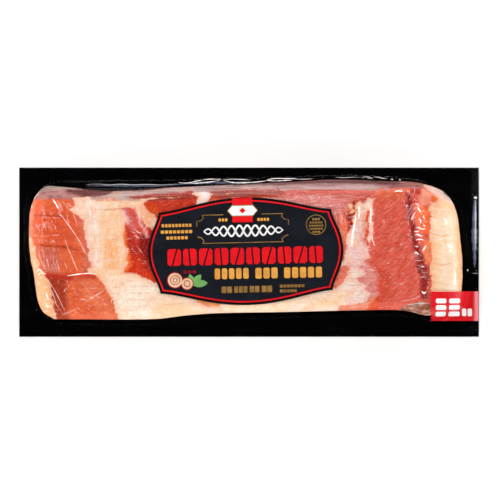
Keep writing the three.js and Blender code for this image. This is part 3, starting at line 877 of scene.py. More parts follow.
def crumpledShare(x, y, crinkle):
    away, _ = lineDistance(x, y, crinkle["line"])
    return np.exp(-((away / crinkle["spread"]) ** 2))


def filmWrinkles(x, y):
    side = filmSide(x, y)
    calm = (1 - underLabel(x, y)) * (1 - underTag(x, y))
    wrinkles = film["ripple"] * hills(x, y, (5, 3.4), 11) + film["fineRipple"] * hills(x, y, 2.2, 12)
    for crinkle in film["crinkles"]:
        crumpled = crinkle["height"] * crumpledShare(x, y, crinkle)
        wrinkles = wrinkles + crumpled * hills(x, y, crinkle["size"], 13)
    beyond = smooth(y, upperMeat(x) - 1.5, upperMeat(x) + 1)
    beyond = beyond * (1 - smooth(y, upperFoot(x) - 1, upperFoot(x) + 2))
    pleats = hills(x, y - upperFoot(x), (26, 1.5), 14) + 0.5 * hills(x, y - upperFoot(x), (9, 1.1), 15)
    wrinkles = wrinkles + film["pleat"] * beyond * pleats
    flange = (1 - smooth(side, 0, 0.05)) * film["flange"] * hills(x, y, (14, 9), 16)
    edge = np.minimum(pack["length"] / 2 - np.abs(x), pack["width"] / 2 - np.abs(y))
    return (wrinkles * calm * smooth(side, 0.0, 0.15) + np.maximum(flange, 0)) * smooth(edge, 0, 3)


def filmSurface(x, y):
    return filmHeight(x, y) + filmWrinkles(x, y) - film["tuck"] * furrowDepth(x, y)


def buildFilm(material):
    columns = int(round(pack["length"] / film["spacing"])) + 1
    rows = int(round(pack["width"] / film["spacing"])) + 1
    x, y = np.meshgrid(np.linspace(-0.5, 0.5, columns) * pack["length"],
                       np.linspace(-0.5, 0.5, rows) * pack["width"])
    inset = 1 - film["rimGap"] / pack["length"]
    x, y = x.ravel() * inset, y.ravel() * inset
    z = np.maximum(filmSurface(x, y), pack["web"] + film["thickness"] + film["webGap"])
    index = np.arange(rows * columns).reshape(rows, columns)
    quads = np.stack([index[:-1, :-1], index[:-1, 1:], index[1:, 1:], index[1:, :-1]], -1).reshape(-1, 4)
    sheet = toObject("clear_film", np.column_stack([x, y, z]), quads, material)
    near = np.zeros(len(x))
    for crinkle in film["crinkles"]:
        near = np.maximum(near, crumpledShare(x, y, crinkle))
    addNumbers(sheet, "crinkle", near * (1 - underLabel(x, y)))
    # the film mirrors less where it lies flat on the web, but for its bead and the loose strip above
    slope = np.hypot(*np.gradient(filmHeight(x, y).reshape(rows, columns), film["spacing"])).ravel()
    shine = smooth(filmSide(x, y), 0.3, 0.65) * mix(1, film["flatShine"], smooth(slope, 0.1, 0.3))
    shine = mix(film["flatShine"], 1, shine)
    loose = smooth(y, upperMeat(x) - 1, upperMeat(x) + 1) * film["looseShine"]
    atBead = np.exp(-(((x - stack["bead"][0]) / film["beadSpread"]) ** 2))
    brightest, faded, full = film["beadMiddle"]
    atBead = atBead * mix(*film["beadShine"], smooth(np.abs(y - brightest), faded, full))
    addNumbers(sheet, "shine", np.maximum(np.maximum(shine, loose), atBead))
    solid = sheet.modifiers.new("thickness", "SOLIDIFY")
    solid.thickness = film["thickness"] * mm
    solid.offset = -1
    return sheet


def filmMaterial():
    m = Recipe("Clear film")
    fine = m.math("ADD", m.noise((4, 0.9, 3), 4, 0.65, turn=-55, warp=0.8), m.noise((3, 2, 3), 3, 0.6))
    crumpled = m.ramp(m.noise((2.2, 1.5, 2), 2, 0.5, warp=0.8), 0.5, 0.66)
    crests = m.math("MULTIPLY_ADD", m.ramp(crumpled, 0.5, 0.9), film["sparkle"], -1.0)
    crests = m.math("MULTIPLY_ADD", crests, m.number("crinkle"), 1.0)
    crumpled = m.math("MULTIPLY", crumpled, m.number("crinkle"))
    normal = m.bump(crumpled, 1.0, 0.3, m.bump(fine, 0.4, 0.3))
    gloss = m.put("ShaderNodeBsdfGlossy", {"Color": "#ffffff", "Roughness": 0.07, "Normal": normal})
    clear = m.put("ShaderNodeBsdfTransparent", {"Color": (1, 1, 1, 1)})
    edge = m.put("ShaderNodeFresnel", {"IOR": 1.5, "Normal": normal})
    share = m.math("MULTIPLY_ADD", m.math("SUBTRACT", edge.outputs[0], 0.04), 0.15, film["gloss"])
    share = m.math("MULTIPLY", m.math("MULTIPLY", share, m.number("shine")), crests)
    mixed = m.put("ShaderNodeMixShader", {0: share, 1: clear, 2: gloss})
    m.tree.links.new(mixed.outputs[0], m.output.inputs["Surface"])
    return m.material


def webMaterial():
    m = Recipe("Black web")
    cloudy = m.ramp(m.noise((26, 18, 20), 3, 0.6, turn=35), 0.5, 0.75)
    colour = m.blend(cloudy, "#010101", "#04050a")
    crease = m.noise((22, 6, 10), 4, 0.6, turn=-20)
    m.skin(Base_Color=colour, Roughness=m.ramp(m.noise(9, 3), 0.3, 0.7, 0.4, 0.55), Specular_IOR_Level=0.02,
           Normal=m.bump(crease, 0.2, 0.3))
    return m.material


# Folds: thin ridges where the film is pinched, coloured white with a faint glow as painted highlights. Each
# is a line on the film.

fold = {
    "step": 0.5,
    "leastPoints": 6,
    "narrow": 0.85,
    "lift": 0.02,
    "sides": 6,
    "flatness": 0.34,
    "taper": (0.96, 0.02, 0.7),  # the share of the line in use, where it starts and how blunt its ends are
    "jitter": (0.78, 0.42, 1.8),  # the least width, how much more, and over what length
}
folds = [
    # points along the fold, and its half width
    ([(-125, 33.6), (-123, 30.4), (-120.6, 26.4)], 0.3),
    ([(-122.6, 25), (-117, 17.5), (-110, 7), (-104.4, -3.6)], 0.36),
    ([(-124, 27.6), (-119, 20), (-112.4, 11), (-106, 1)], 0.16),
    ([(-117.4, 2.4), (-114.6, -4), (-112, -10.6), (-110.6, -13.4)], 0.26),
    ([(-119.6, 9), (-118, 4), (-116.6, 0)], 0.2),
    ([(-131.6, -3.4), (-130.2, -8), (-129.6, -12)], 0.2),
    ([(-131.4, -2), (-131, -6), (-130, -9.6)], 0.16),
    ([(-127.8, -1), (-127, -6), (-125.4, -10.8)], 0.16),
    ([(-134.4, 3.4), (-133.4, -1), (-132.6, -5)], 0.16),
    ([(-134.4, 19.4), (-132.6, 16.4), (-131.6, 13.4)], 0.14),
    ([(-130.6, 19.8), (-128.8, 16.6), (-127.8, 13.6)], 0.14),
    ([(-138, 18.8), (-136.6, 15.6), (-135.8, 12.8)], 0.14),
    ([(-135, 30.6), (-133, 27.4), (-132, 25.2)], 0.14),
    ([(-120.6, -4.6), (-118.6, -9.4), (-117.8, -12.6)], 0.13),
    ([(-113, 9.6), (-109, 3.4), (-105.6, -1.6)], 0.13),
    ([(-108, -20), (-104.6, -24.4), (-103, -28)], 0.12),
    ([(-116, -19.4), (-113.4, -24.6), (-112, -28.4)], 0.12),
    ([(-136.6, -1), (-134, -8), (-131, -12.6)], 0.2),
    ([(-125.4, -4), (-123.6, -10), (-122.4, -13)], 0.18),
    ([(-131, -17), (-126.4, -24.4), (-123, -31), (-119.6, -38.6)], 0.3),
    ([(-130, -22), (-127.6, -26), (-125, -34), (-121, -40)], 0.22),
    ([(-121.6, -40.6), (-116.6, -39), (-111.4, -36)], 0.26),
    ([(-108, -34), (-102, -29.6), (-96.4, -26.2), (-92.4, -23.6)], 0.26),
    ([(-104, -23.2), (-101, -23.4), (-98, -22.8)], 0.22),
    ([(-109.6, -30.4), (-107, -30.8), (-105.4, -31.4)], 0.3),
    ([(-120.2, -26), (-119.4, -24.4), (-118.4, -23.6)], 0.3),
    ([(-134, -33), (-131, -33.6), (-128.4, -33)], 0.24),
    ([(-89.4, -33), (-89, -31), (-88.4, -29.4)], 0.3),
    ([(-114.4, 25.2), (-113, 22), (-111.4, 18.6)], 0.24),
    ([(-117.4, 25), (-118, 22), (-116.6, 18)], 0.2),
    ([(-105.4, 35), (-103.4, 33.6), (-102.4, 30)], 0.4),
    ([(-118.6, 32), (-115.4, 29.6), (-113.4, 29.4)], 0.24),
    ([(-141.4, 1.6), (-140.6, 0.2)], 0.5),
    ([(-66.6, -35), (-65, -37.4), (-63.6, -39)], 0.36),
    ([(-75, -28), (-74.4, -30)], 0.34),
    ([(-74.6, 15), (-72.6, 13.4), (-70.4, 12)], 0.34),
    ([(-74, 11), (-72, 9.4), (-70.8, 9)], 0.34),
    ([(-79.6, 8), (-77.6, 8.8), (-76, 8.6)], 0.24),
    ([(-72, 27), (-71.6, 24), (-70.8, 21.4)], 0.24),
    ([(-73, 4), (-70, 0.6), (-68.4, -2)], 0.16),
    ([(100.4, 21.8), (103, 25.6), (105.6, 29.6), (107.4, 31.8)], 0.24),
    ([(102, 21.6), (104.6, 25), (106.8, 28.4)], 0.18),
    ([(112.6, 19), (113.8, 21.4), (112.6, 22.6)], 0.3),
    ([(111.6, -12.8), (113.4, -13.2), (115, -12.8)], 0.3),
    ([(97.6, -32), (103, -31.2), (108, -29.8), (111, -28.4)], 0.24),
    ([(100.4, -34.6), (107, -33.6), (114, -33.2), (118, -33.8)], 0.34),
    ([(88.6, 35.6), (90, 36.4), (91.2, 37)], 0.28),
    ([(102, 41), (104, 38.6), (106.4, 36.8)], 0.22),
    ([(106.6, 43.4), (107.6, 40), (106, 37)], 0.22),
    ([(57, 36.6), (60, 37), (66, 36.2), (70, 35.2), (74, 36.6)], 0.2),
    ([(82, -11.8), (79, -11.4), (76.6, -11.6)], 0.22),
    ([(145.2, -13.8), (149.4, -13.8)], 0.18),
    ([(147.8, 34), (147.8, 26), (147.7, 14), (147.6, 2)], 0.8),
]
# Glints: painted highlights, drawn as thin white glowing ridges on the film
glints = [
    ([(-127.5, 34.5), (-125.8, 32), (-123.6, 28)], 0.45),
    ([(-118, -15.4), (-110, -14.2), (-103, -13.8), (-98.6, -14.4)], 0.42),
    ([(-138.6, -13.6), (-136.4, -11.4), (-133.4, -13.6), (-131.6, -14.2)], 0.36),
    ([(-137, -15.4), (-135.4, -13.4), (-134, -14.4)], 0.26),
    ([(-131.8, -26.6), (-131, -28.6), (-130.4, -30.4)], 0.5),
    ([(71.2, 30), (71.6, 26), (71, 21.6)], 0.62),
    ([(69, 24), (68.6, 19), (67.2, 12), (66.6, 4)], 0.62),
    ([(78.8, 29), (79, 23), (78.6, 18)], 0.42),
    ([(79.6, 13), (80, 8), (81.6, 4)], 0.24),
    ([(105, 20.4), (106.4, 23.4), (107.8, 26)], 0.34),
    ([(107.6, 31.6), (109.4, 31), (110.6, 29.4)], 0.4),
    ([(109, 29.4), (110.2, 27.8), (111.4, 25.6)], 0.5),
    ([(108.2, 15.4), (109.6, 16.2), (112, 15), (114.4, 15.2)], 0.5),
    ([(107, 13.6), (109, 13.2), (110.6, 14.2)], 0.42),
    ([(107.4, 10.8), (109, 11.6), (111.6, 10.4), (113, 10.8)], 0.5),
    ([(108, 7.8), (110.6, 8.4), (113.4, 7.8)], 0.36),
    ([(107.8, 4), (109.6, 3.4)], 0.4),
    ([(112.4, 0.6), (113.6, 2.4), (114.8, 4.6)], 0.55),
    ([(113, 17.6), (114.4, 16.6)], 0.5),
    ([(112, -25.2), (113.4, -26.6), (114.8, -25.6)], 0.6),
    ([(94.4, 39.2), (97, 39.8), (99.6, 39.4)], 0.5),
    ([(146.6, 35.6), (148.8, 35.6)], 0.7),
    ([(142.4, -11.6), (143, -12)], 0.5),
    ([(92.4, 47.6), (94, 47.4)], 0.36),
    ([(97.8, 47.2), (98.8, 47)], 0.36),
    ([(-133, -34.6), (-130.6, -35.4), (-128, -34.8)], 0.26),
    ([(-131.4, -33), (-130.8, -36.6)], 0.2),
    ([(133.4, -12), (133.8, -17), (133.4, -22)], 0.5),
    ([(128.4, 5), (130.4, 4), (132, 2.2)], 0.7),
    ([(129.6, 1.6), (131.4, 0.6)], 0.6),
    ([(126.2, 22), (127.8, 20), (128.6, 17.6)], 0.34),
    ([(109.6, 21.6), (111.4, 20.6), (111, 18.4)], 0.5),
    ([(56, 48.9), (62, 48.6), (67, 48.8), (73, 48.9)], 0.12),
    ([(73.4, 48.2), (76, 49.2), (78.4, 48.9), (80.4, 48.2), (77, 47.9)], 0.2),
    ([(81.4, 49), (84.6, 48.9), (86.6, 48.2), (90, 48)], 0.2),
    ([(-140.4, 33.4), (-139, 36.4), (-136.4, 38.6)], 0.2),
    ([(-141.6, 31), (-141.2, 28.4)], 0.2),
    ([(-106, 44), (-98, 44.4), (-91, 43.8), (-84, 44.3), (-76, 43.9), (-66, 44.1), (-56, 43.8), (-47, 44.5)],
     0.13),
    ([(-46, 45.4), (-42, 45), (-38.8, 45.2), (-34, 46.4), (-30.5, 46.9)], 0.4),
    ([(-38.8, 44.5), (-30.5, 45.2), (-24.2, 45.9), (-19, 46.9)], 0.32),
    ([(-30.5, 47.3), (-24.2, 47.7), (-17.9, 47.5)], 0.3),
    ([(-17, 46.9), (-10.6, 45.3), (-3.3, 45.1), (7, 45.9), (13.4, 46.9)], 0.34),
    ([(-17, 47.4), (-10.6, 47.6), (-3.3, 47.4), (1, 46.9)], 0.2),
    ([(11.4, 47.2), (17.6, 48.1), (24, 47.9), (31.2, 48.1)], 0.38),
    ([(11.4, 46.7), (17.6, 46.4), (28, 46.9)], 0.3),
    ([(28, 47.5), (37.4, 47.6), (42.6, 48)], 0.14),
    ([(122.4, 24), (124, 27.4), (126.4, 28), (128.6, 27)], 0.14),
    ([(117.6, 4.6), (123, 8), (128, 9.6), (133, 11.4)], 0.1),
    ([(118, 1.6), (125, 0.4), (131, -0.6), (135, 1.4)], 0.09),
    ([(117.8, -3.6), (122, -2.6), (127, -4.4)], 0.1),
    ([(120, 18.6), (124, 15.4), (130, 14.6)], 0.1),
    ([(118.4, 22.4), (120, 20.6), (121.8, 19)], 0.18),
    ([(112.6, 23.6), (114, 21.8)], 0.4),
    ([(107, -5), (109.6, -5.6), (112, -5.2)], 0.2),
    ([(111, -10), (112.6, -9), (113.6, -10.4)], 0.26),
    ([(111.4, -16.6), (113, -16), (114.6, -16.8)], 0.2),
    ([(106.6, -1), (108.6, -0.4), (110.4, -1.6)], 0.34),
]
# Painted sheens: broad, faint, bluish glowing ridges over the black web, standing for the film's sheen
paintedSheens = [
    ([(-106, 43), (-94, 43.4), (-82, 43.2), (-70, 43.2), (-58, 43.2), (-46, 44)], 0.9),
    ([(-50, 43.8), (-34, 44.9), (-22, 45.2), (-10, 45.4), (2, 46)], 0.9),
    ([(147.2, 35), (147.1, 24), (147.1, 12), (147.2, -2), (147.2, -10)], 2.5),
    ([(147.6, 34), (147.6, 22), (147.6, 8), (147.5, -6)], 1.6),
]
# short pale dashes in rows over the left muscle, and a few on the other patches, painted highlights of small
# film wrinkles, as their count, outline, turn and length
glintDashZones = [
    (14, [(-139, 21), (-124, 20), (-124, 15), (-139, 16)], -62, 2.6),
    (14, [(-140, 11.4), (-123, 11.2), (-123, 10.4), (-140, 10.6)], -20, 1.1),
    (14, [(-137, 8.6), (-125, 8.2), (-125, 6.2), (-137, 6.6)], -50, 1.3),
    (12, [(-139, 23.4), (-122, 22.6), (-122, 21.8), (-139, 22.6)], -15, 1.2),
    (16, [(-138, 26), (-120, 34), (-114, 28), (-124, 22)], -52, 2.6),
    (20, [(-124, -17), (-98, -18), (-90, -38), (-122, -40)], -60, 2.2),
    (14, [(-78, 14), (-68, 14), (-67, -10), (-78, -8)], -30, 1.6),
    (26, [(105, 30), (115, 30), (116, -6), (107, -6)], 40, 1.8),
    (22, [(82, 34), (104, 34), (108, -28), (88, -28)], 38, 2.0),
    (12, [(-104, 30), (-82, 26), (-84, -36), (-98, -10)], -75, 1.6),
]
glintDash = {"turnSpread": 14, "half": (0.3, 0.7), "bow": 0.2, "width": (0.12, 0.26)}


def glintDashLines():
    lines = []
    for count, outline, turn, length in glintDashZones:
        low, high = np.min(outline, axis=0), np.max(outline, axis=0)
        made = 0
        while made < count:
            x, y = rng.uniform(low, high)
            if insideDistance(np.array([x]), np.array([y]), outline)[0] < 0:
                continue
            angle = math.radians(turn + rng.normal(0, glintDash["turnSpread"]))
            half = length * rng.uniform(*glintDash["half"])
            dx, dy = half * math.cos(angle), half * math.sin(angle)
            bow = rng.normal(0, glintDash["bow"])
            points = [(x - dx, y - dy), (x - dy * bow, y + dx * bow), (x + dx, y + dy)]
            lines.append((points, rng.uniform(*glintDash["width"])))
            made += 1
    return lines


def group(name, sockets):
    # a Geometry Nodes tree with named inputs
    tree = bpy.data.node_groups.new(name, "GeometryNodeTree")
    tree.interface.new_socket("Geometry", in_out="INPUT", socket_type="NodeSocketGeometry")
    for title, kind, value in sockets:
        socket = tree.interface.new_socket(title, in_out="INPUT", socket_type=kind)
        if value is not None:
            socket.default_value = value
    tree.interface.new_socket("Geometry", in_out="OUTPUT", socket_type="NodeSocketGeometry")
    return tree


def wire(tree, kind, inputs=None, **settings):
    node = tree.nodes.new(kind)
    for key, value in settings.items():
        setattr(node, key, value)
    for key, value in (inputs or {}).items():
        socket = node.inputs[key]
        if isinstance(value, (bpy.types.Node, bpy.types.NodeSocket)):
            tree.links.new(value.outputs[0] if isinstance(value, bpy.types.Node) else value, socket)
        else:
            socket.default_value = value
    return node


def runTree(thing, tree, values):
    # evaluates the tree on the object and leaves a plain mesh
    modifier = thing.modifiers.new(tree.name, "NODES")
    modifier.node_group = tree
    identifiers = {item.name: item.identifier for item in tree.interface.items_tree if item.in_out == "INPUT"}
    for name, value in values.items():
        modifier[identifiers[name]] = value
    graph = bpy.context.evaluated_depsgraph_get()
    result = bpy.data.meshes.new_from_object(thing.evaluated_get(graph))
    thing.modifiers.remove(modifier)
    result.name = thing.name
    thing.data = result
    return thing


def foldTree():
    tree = group("Film folds", [
        ("Sides", "NodeSocketInt", 6), ("Flatness", "NodeSocketFloat", 0.6),
        ("Finish", "NodeSocketMaterial", None)])
    given = tree.nodes.new("NodeGroupInput")
    line = wire(tree, "GeometryNodeMeshToCurve", {0: given.outputs["Geometry"]})
    flat = wire(tree, "GeometryNodeSetCurveNormal", {0: line}, mode="Z_UP")
    width = wire(tree, "GeometryNodeInputNamedAttribute", {"Name": "halfWidth"}, data_type="FLOAT")
    ring = wire(tree, "GeometryNodeCurvePrimitiveCircle",
                {"Resolution": given.outputs["Sides"], "Radius": 1.0}, mode="RADIUS")
    scale = wire(tree, "ShaderNodeCombineXYZ", {0: 1.0, 1: given.outputs["Flatness"], 2: 1.0})
    oval = wire(tree, "GeometryNodeTransform", {"Geometry": ring, "Scale": scale})
    tube = wire(tree, "GeometryNodeCurveToMesh", {
        "Curve": flat, "Profile Curve": oval, "Scale": width.outputs[0], "Fill Caps": True})
    real = wire(tree, "GeometryNodeRealizeInstances", {0: tube})
    shaded = wire(tree, "GeometryNodeSetShadeSmooth", {0: real})
    dressed = wire(tree, "GeometryNodeSetMaterial", {0: shaded, "Material": given.outputs["Finish"]})
    out = tree.nodes.new("NodeGroupOutput")
    tree.links.new(dressed.outputs[0], out.inputs[0])
    return tree


def buildFolds(name, lines, material):
    vertices, edges, widths = [], [], []
    for points, half in lines:
        corners = np.array(points, float)
        run = np.concatenate([[0], np.cumsum(np.hypot(*np.diff(corners, axis=0).T))])
        count = max(fold["leastPoints"], int(run[-1] / fold["step"]))
        steps = np.linspace(0, run[-1], count)
        curveX, curveY = (curveThrough(np.column_stack([run, corners[:, k]])) for k in (0, 1))
        x, y = curveX(steps), curveY(steps)
        if len(corners) == 2:
            x, y = (np.interp(steps, run, corners[:, k]) for k in (0, 1))
        share = np.linspace(0, 1, count)
        used, first, blunt = fold["taper"]
        taper = np.sin(math.pi * np.clip(share * used + first, 0, 1)) ** blunt
        least, more, size = fold["jitter"]
        jitter = least + more * hills(x, y, size, 21)
        start = len(vertices)
        vertices += np.column_stack([x, y, filmSurface(x, y) + fold["lift"]]).tolist()
        widths += (fold["narrow"] * half * taper * jitter * mm).tolist()
        edges += [(start + k, start + k + 1) for k in range(count - 1)]
    thing = toObject(name, vertices, [], flat=True, edges=edges)
    addNumbers(thing, "halfWidth", widths)
    thing.visible_shadow = False  # pinched film hardly shades what lies under it
    values = {"Sides": fold["sides"], "Flatness": fold["flatness"], "Finish": material}
    return runTree(thing, foldTree(), values)


def paintedLightMaterial(name, cover, glow=0.2, pale="#ffffff", deep="#fbe9df"):
    m = Recipe(name)
    highlightMix = m.ramp(m.noise((2, 2, 2), 3), 0.3, 0.7)
    # white, partly clear and faintly glowing: the colour of painted highlights and sheen on the film
    m.skin(Base_Color=m.blend(highlightMix, deep, pale), Roughness=0.3, Alpha=cover, Specular_IOR_Level=0.8,
           Emission_Color=pale, Emission_Strength=glow)
    return m.material


# Print: thin sheets of ink laid on the film

def finer(loop, spacing):
    # the same outline with its long sides cut into shorter ones
    points = []
    for start, end in zip(loop, np.roll(loop, -1, axis=0)):
        count = max(1, math.ceil(np.linalg.norm(end - start) / spacing))
        points += [mix(start, end, k / count) for k in range(count)]
    return np.array(points)


def flatSheet(loops, thickness, spacing=3.0):
    # a closed flat sheet from an outline and its holes, with points inside so that it can follow the film
    loops = [finer(np.asarray(loop, float), spacing) for loop in loops]
    points, edges = [], []
    for loop in loops:
        start = len(points)
        points += [Vector(point) for point in loop]
        edges += [(start + k, start + (k + 1) % len(loop)) for k in range(len(loop))]
    low, high = loops[0].min(0), loops[0].max(0)
    gridX, gridY = np.meshgrid(np.arange(low[0] + spacing / 2, high[0], spacing),
                               np.arange(low[1] + spacing / 2, high[1], spacing))
    gridX, gridY = gridX.ravel(), gridY.ravel()

    def within(x, y, margin):
        keep = insideDistance(x, y, loops[0]) > margin
        for hole in loops[1:]:
            keep &= insideDistance(x, y, hole) < -margin
        return keep

    if len(gridX):
        keep = within(gridX, gridY, spacing * 0.35)
        points += [Vector(pair) for pair in np.column_stack([gridX, gridY])[keep]]
    flat, _, triangles, *_ = geometry.delaunay_2d_cdt(points, edges, [], 0, 1e-5)
    flat = np.array([tuple(point) for point in flat])
    triangles = np.array([tuple(face) for face in triangles])
    centres = flat[triangles].mean(1)
    triangles = triangles[within(centres[:, 0], centres[:, 1], 0)]
    a, b, c = (flat[triangles[:, k]] for k in range(3))
    turned = (b[:, 0] - a[:, 0]) * (c[:, 1] - a[:, 1]) - (b[:, 1] - a[:, 1]) * (c[:, 0] - a[:, 0]) < 0
    triangles[turned] = triangles[turned][:, ::-1]
    directed = {(int(t[k]), int(t[(k + 1) % 3])) for t in triangles for k in range(3)}
    rim = [(a, b) for a, b in directed if (b, a) not in directed]
    count = len(flat)
    vertices = np.concatenate([np.column_stack([flat, np.full(count, thickness)]),
                               np.column_stack([flat, np.zeros(count)])])
    faces = [tuple(t) for t in triangles] + [tuple(t[::-1] + count) for t in triangles]
    faces += [(a + count, b + count, b, a) for a, b in sorted(rim)]
    return vertices, faces


def joined(parts):
    vertices, faces, start = [], [], 0
    for partVertices, partFaces in parts:
        vertices.append(partVertices)
        faces += [tuple(int(k) + start for k in face) for face in partFaces]
        start += len(partVertices)
    return np.concatenate(vertices), faces


def bridgedHeight(x, y):
    # the film with its sharp foot bridged over, as printed film lies
    steps = np.linspace(-tag["bridge"], tag["bridge"], 5)
    around = np.mean([filmHeight(x + dx, y + dy) for dx in steps for dy in steps], axis=0)
    return np.maximum(filmHeight(x, y), around)


def layOnFilm(vertices, lift, height=filmHeight):
    laid = np.array(vertices, float)
    laid[:, 2] += height(laid[:, 0], laid[:, 1]) + lift
    return laid


def inkPiece(name, sheets, material, layer, height=filmHeight):
    # sheets of ink, in the pack's frame, as one piece. layer counts the inks below it.
    bottom = label["lift"] + label["thickness"] + (layer - 1) * label["ink"]
    vertices, faces = joined(sheets)
    return toObject(name, layOnFilm(vertices, bottom, height), faces, material, flat=True)


def turnedLoop(points):
    return np.array([onLabel(*point) for point in points])


def insetLoop(points, distance):
    # moves each side of an anticlockwise outline inwards
    points = np.asarray(points, float)
    before, after = points - np.roll(points, 1, 0), np.roll(points, -1, 0) - points
    before /= np.linalg.norm(before, axis=1)[:, None]
    after /= np.linalg.norm(after, axis=1)[:, None]
    inBefore = np.column_stack([-before[:, 1], before[:, 0]])
    inAfter = np.column_stack([-after[:, 1], after[:, 0]])
    middle = inBefore + inAfter
    reach = distance * 2 / np.maximum((middle ** 2).sum(1), 0.4)
    return points + middle * reach[:, None]


def shieldOutline():
    corners = [(-1, -1), (1, -1), (1, 1), (-1, 1)]
    points = []
    for (fromX, fromY), (toX, toY) in zip(corners, corners[1:] + corners[:1]):
        for step in np.arange(label["steps"]) / label["steps"]:
            shareX, shareY = mix(fromX, toX, step), mix(fromY, toY, step)
            points.append((shareX * (label["halfLength"] + label["endBulge"] * ogeeShare(shareY)),
                           shareY * (label["halfWidth"] + label["sideBulge"] * ogeeShare(shareX))))
    return np.array(points)


def block(left, right, low, high, chamfer):
    return [(left + chamfer, low), (right - chamfer, low), (right, low + chamfer), (right, high - chamfer),
            (right - chamfer, high), (left + chamfer, high), (left, high - chamfer), (left, low + chamfer)]


def inkMaterial(name, colour, deeper, roughness):
    m = Recipe(name)
    worn = m.ramp(m.noise((14, 9, 9), 4, 0.6, turn=15), 0.35, 0.7)
    specks = m.ramp(m.noise(0.8, 2), 0.62, 0.75, 0.0, 0.3)
    tint = m.blend(specks, m.blend(worn, colour, deeper), deeper)
    m.skin(Base_Color=tint, Roughness=roughness, Specular_IOR_Level=0.14,
           Normal=m.bump(m.noise((6, 5, 5), 3), 0.12, 0.25))
    return m.material


def blockTree():
    # a row of equal blocks with cut corners
    tree = group("Printed row", [
        ("Count", "NodeSocketInt", 5), ("Pitch", "NodeSocketFloat", 1.0), ("Width", "NodeSocketFloat", 1.0),
        ("Height", "NodeSocketFloat", 1.0), ("Chamfer", "NodeSocketFloat", 0.2),
        ("Thickness", "NodeSocketFloat", 0.1), ("Finish", "NodeSocketMaterial", None)])
    given = tree.nodes.new("NodeGroupInput")
    frameCurve = wire(tree, "GeometryNodeCurvePrimitiveQuadrilateral",
                      {"Width": given.outputs["Width"], "Height": given.outputs["Height"]}, mode="RECTANGLE")
    cut = wire(tree, "GeometryNodeFilletCurve",
               {"Curve": frameCurve, "Count": 1, "Radius": given.outputs["Chamfer"]}, mode="POLY")
    face = wire(tree, "GeometryNodeFillCurve", {0: cut})
    upward = wire(tree, "ShaderNodeCombineXYZ", {2: given.outputs["Thickness"]})
    raised = wire(tree, "GeometryNodeExtrudeMesh", {"Mesh": face, "Offset": upward, "Offset Scale": 1.0,
                                                    "Individual": False}, mode="FACES")
    under = wire(tree, "GeometryNodeFlipFaces", {0: face})
    closed = wire(tree, "GeometryNodeJoinGeometry")
    tree.links.new(raised.outputs[0], closed.inputs[0])
    tree.links.new(under.outputs[0], closed.inputs[0])
    merged = wire(tree, "GeometryNodeMergeByDistance", {0: closed, "Distance": 1e-4})
    pitch = wire(tree, "ShaderNodeCombineXYZ", {0: given.outputs["Pitch"]})
    points = wire(tree, "GeometryNodeMeshLine", {"Count": given.outputs["Count"], "Offset": pitch},
                  mode="OFFSET", count_mode="TOTAL")
    copies = wire(tree, "GeometryNodeInstanceOnPoints", {"Points": points, "Instance": merged})
    real = wire(tree, "GeometryNodeRealizeInstances", {0: copies})
    dressed = wire(tree, "GeometryNodeSetMaterial", {0: real, "Material": given.outputs["Finish"]})
    out = tree.nodes.new("NodeGroupOutput")
    tree.links.new(dressed.outputs[0], out.inputs[0])
    return tree


def printedRow(tree, count, left, right, low, high, gap, chamfer, material):
    # vertices and faces of one row, in the label's frame
    pitch = (right - left + gap) / count
    mesh = bpy.data.meshes.new("row")
    thing = bpy.data.objects.new("row", mesh)
    scene.collection.objects.link(thing)
    runTree(thing, tree, {"Count": count, "Pitch": pitch, "Width": pitch - gap, "Height": high - low,
                          "Chamfer": chamfer, "Thickness": label["ink"], "Finish": material})
    vertices = np.array([tuple(v.co) for v in thing.data.vertices])
    faces = [tuple(p.vertices) for p in thing.data.polygons]
    bpy.data.objects.remove(thing)
    vertices[:, 0] += left + (pitch - gap) / 2
    vertices[:, 1] += (low + high) / 2
    x, y = onLabel(vertices[:, 0], vertices[:, 1])
    return np.column_stack([x, y, vertices[:, 2]]), faces


def disc(x, y, radius, steps=28):
    angles = np.arange(steps) / steps * 2 * math.pi
    return np.column_stack([np.cos(angles), np.sin(angles)]) * radius + (x, y)


def ringLoops(x, y, radius, width, steps=40):
    return [disc(x, y, radius, steps), disc(x, y, radius - width, steps)]


cord = {"pointsPerTurn": 25, "blunt": 0.4, "thin": 0.28, "thick": 0.34}


def twistedBand(left, right, middle, turns, half):
    # two waves that cross like a cord, thinning towards the ends, as one closed stroke each
    strokes = []
    t = np.linspace(0, 1, cord["pointsPerTurn"] * turns)
    for phase in (0, math.pi):
        swing = half * np.sin(math.pi * np.clip(t, 0.001, 0.999)) ** cord["blunt"]
        x = mix(left, right, t)
        y = middle + swing * np.sin(2 * math.pi * turns * t + phase)
        thick = cord["thin"] + cord["thick"] * np.sin(math.pi * t) ** 0.5
        tangent = np.gradient(np.column_stack([x, y]), axis=0)
        tangent /= np.linalg.norm(tangent, axis=1)[:, None]
        normal = np.column_stack([-tangent[:, 1], tangent[:, 0]]) * thick[:, None]
        line = np.column_stack([x, y])
        strokes.append(np.concatenate([line - normal, (line + normal)[::-1]]))
    return strokes


def leafLoop(x, y, length, turn):
    t = np.linspace(0, 1, leaf["points"])
    half = leaf["width"] * length * np.sin(math.pi * t) ** leaf["blunt"]
    spine = np.column_stack([t * length, leaf["bow"] * length * np.sin(math.pi * t)])
    across = np.column_stack([t * 0, half])
    loop = np.concatenate([spine - across, (spine + across)[::-1][1:-1]])
    c, s = math.cos(math.radians(turn)), math.sin(math.radians(turn))
    return loop @ np.array([[c, s], [-s, c]]) + (x, y)


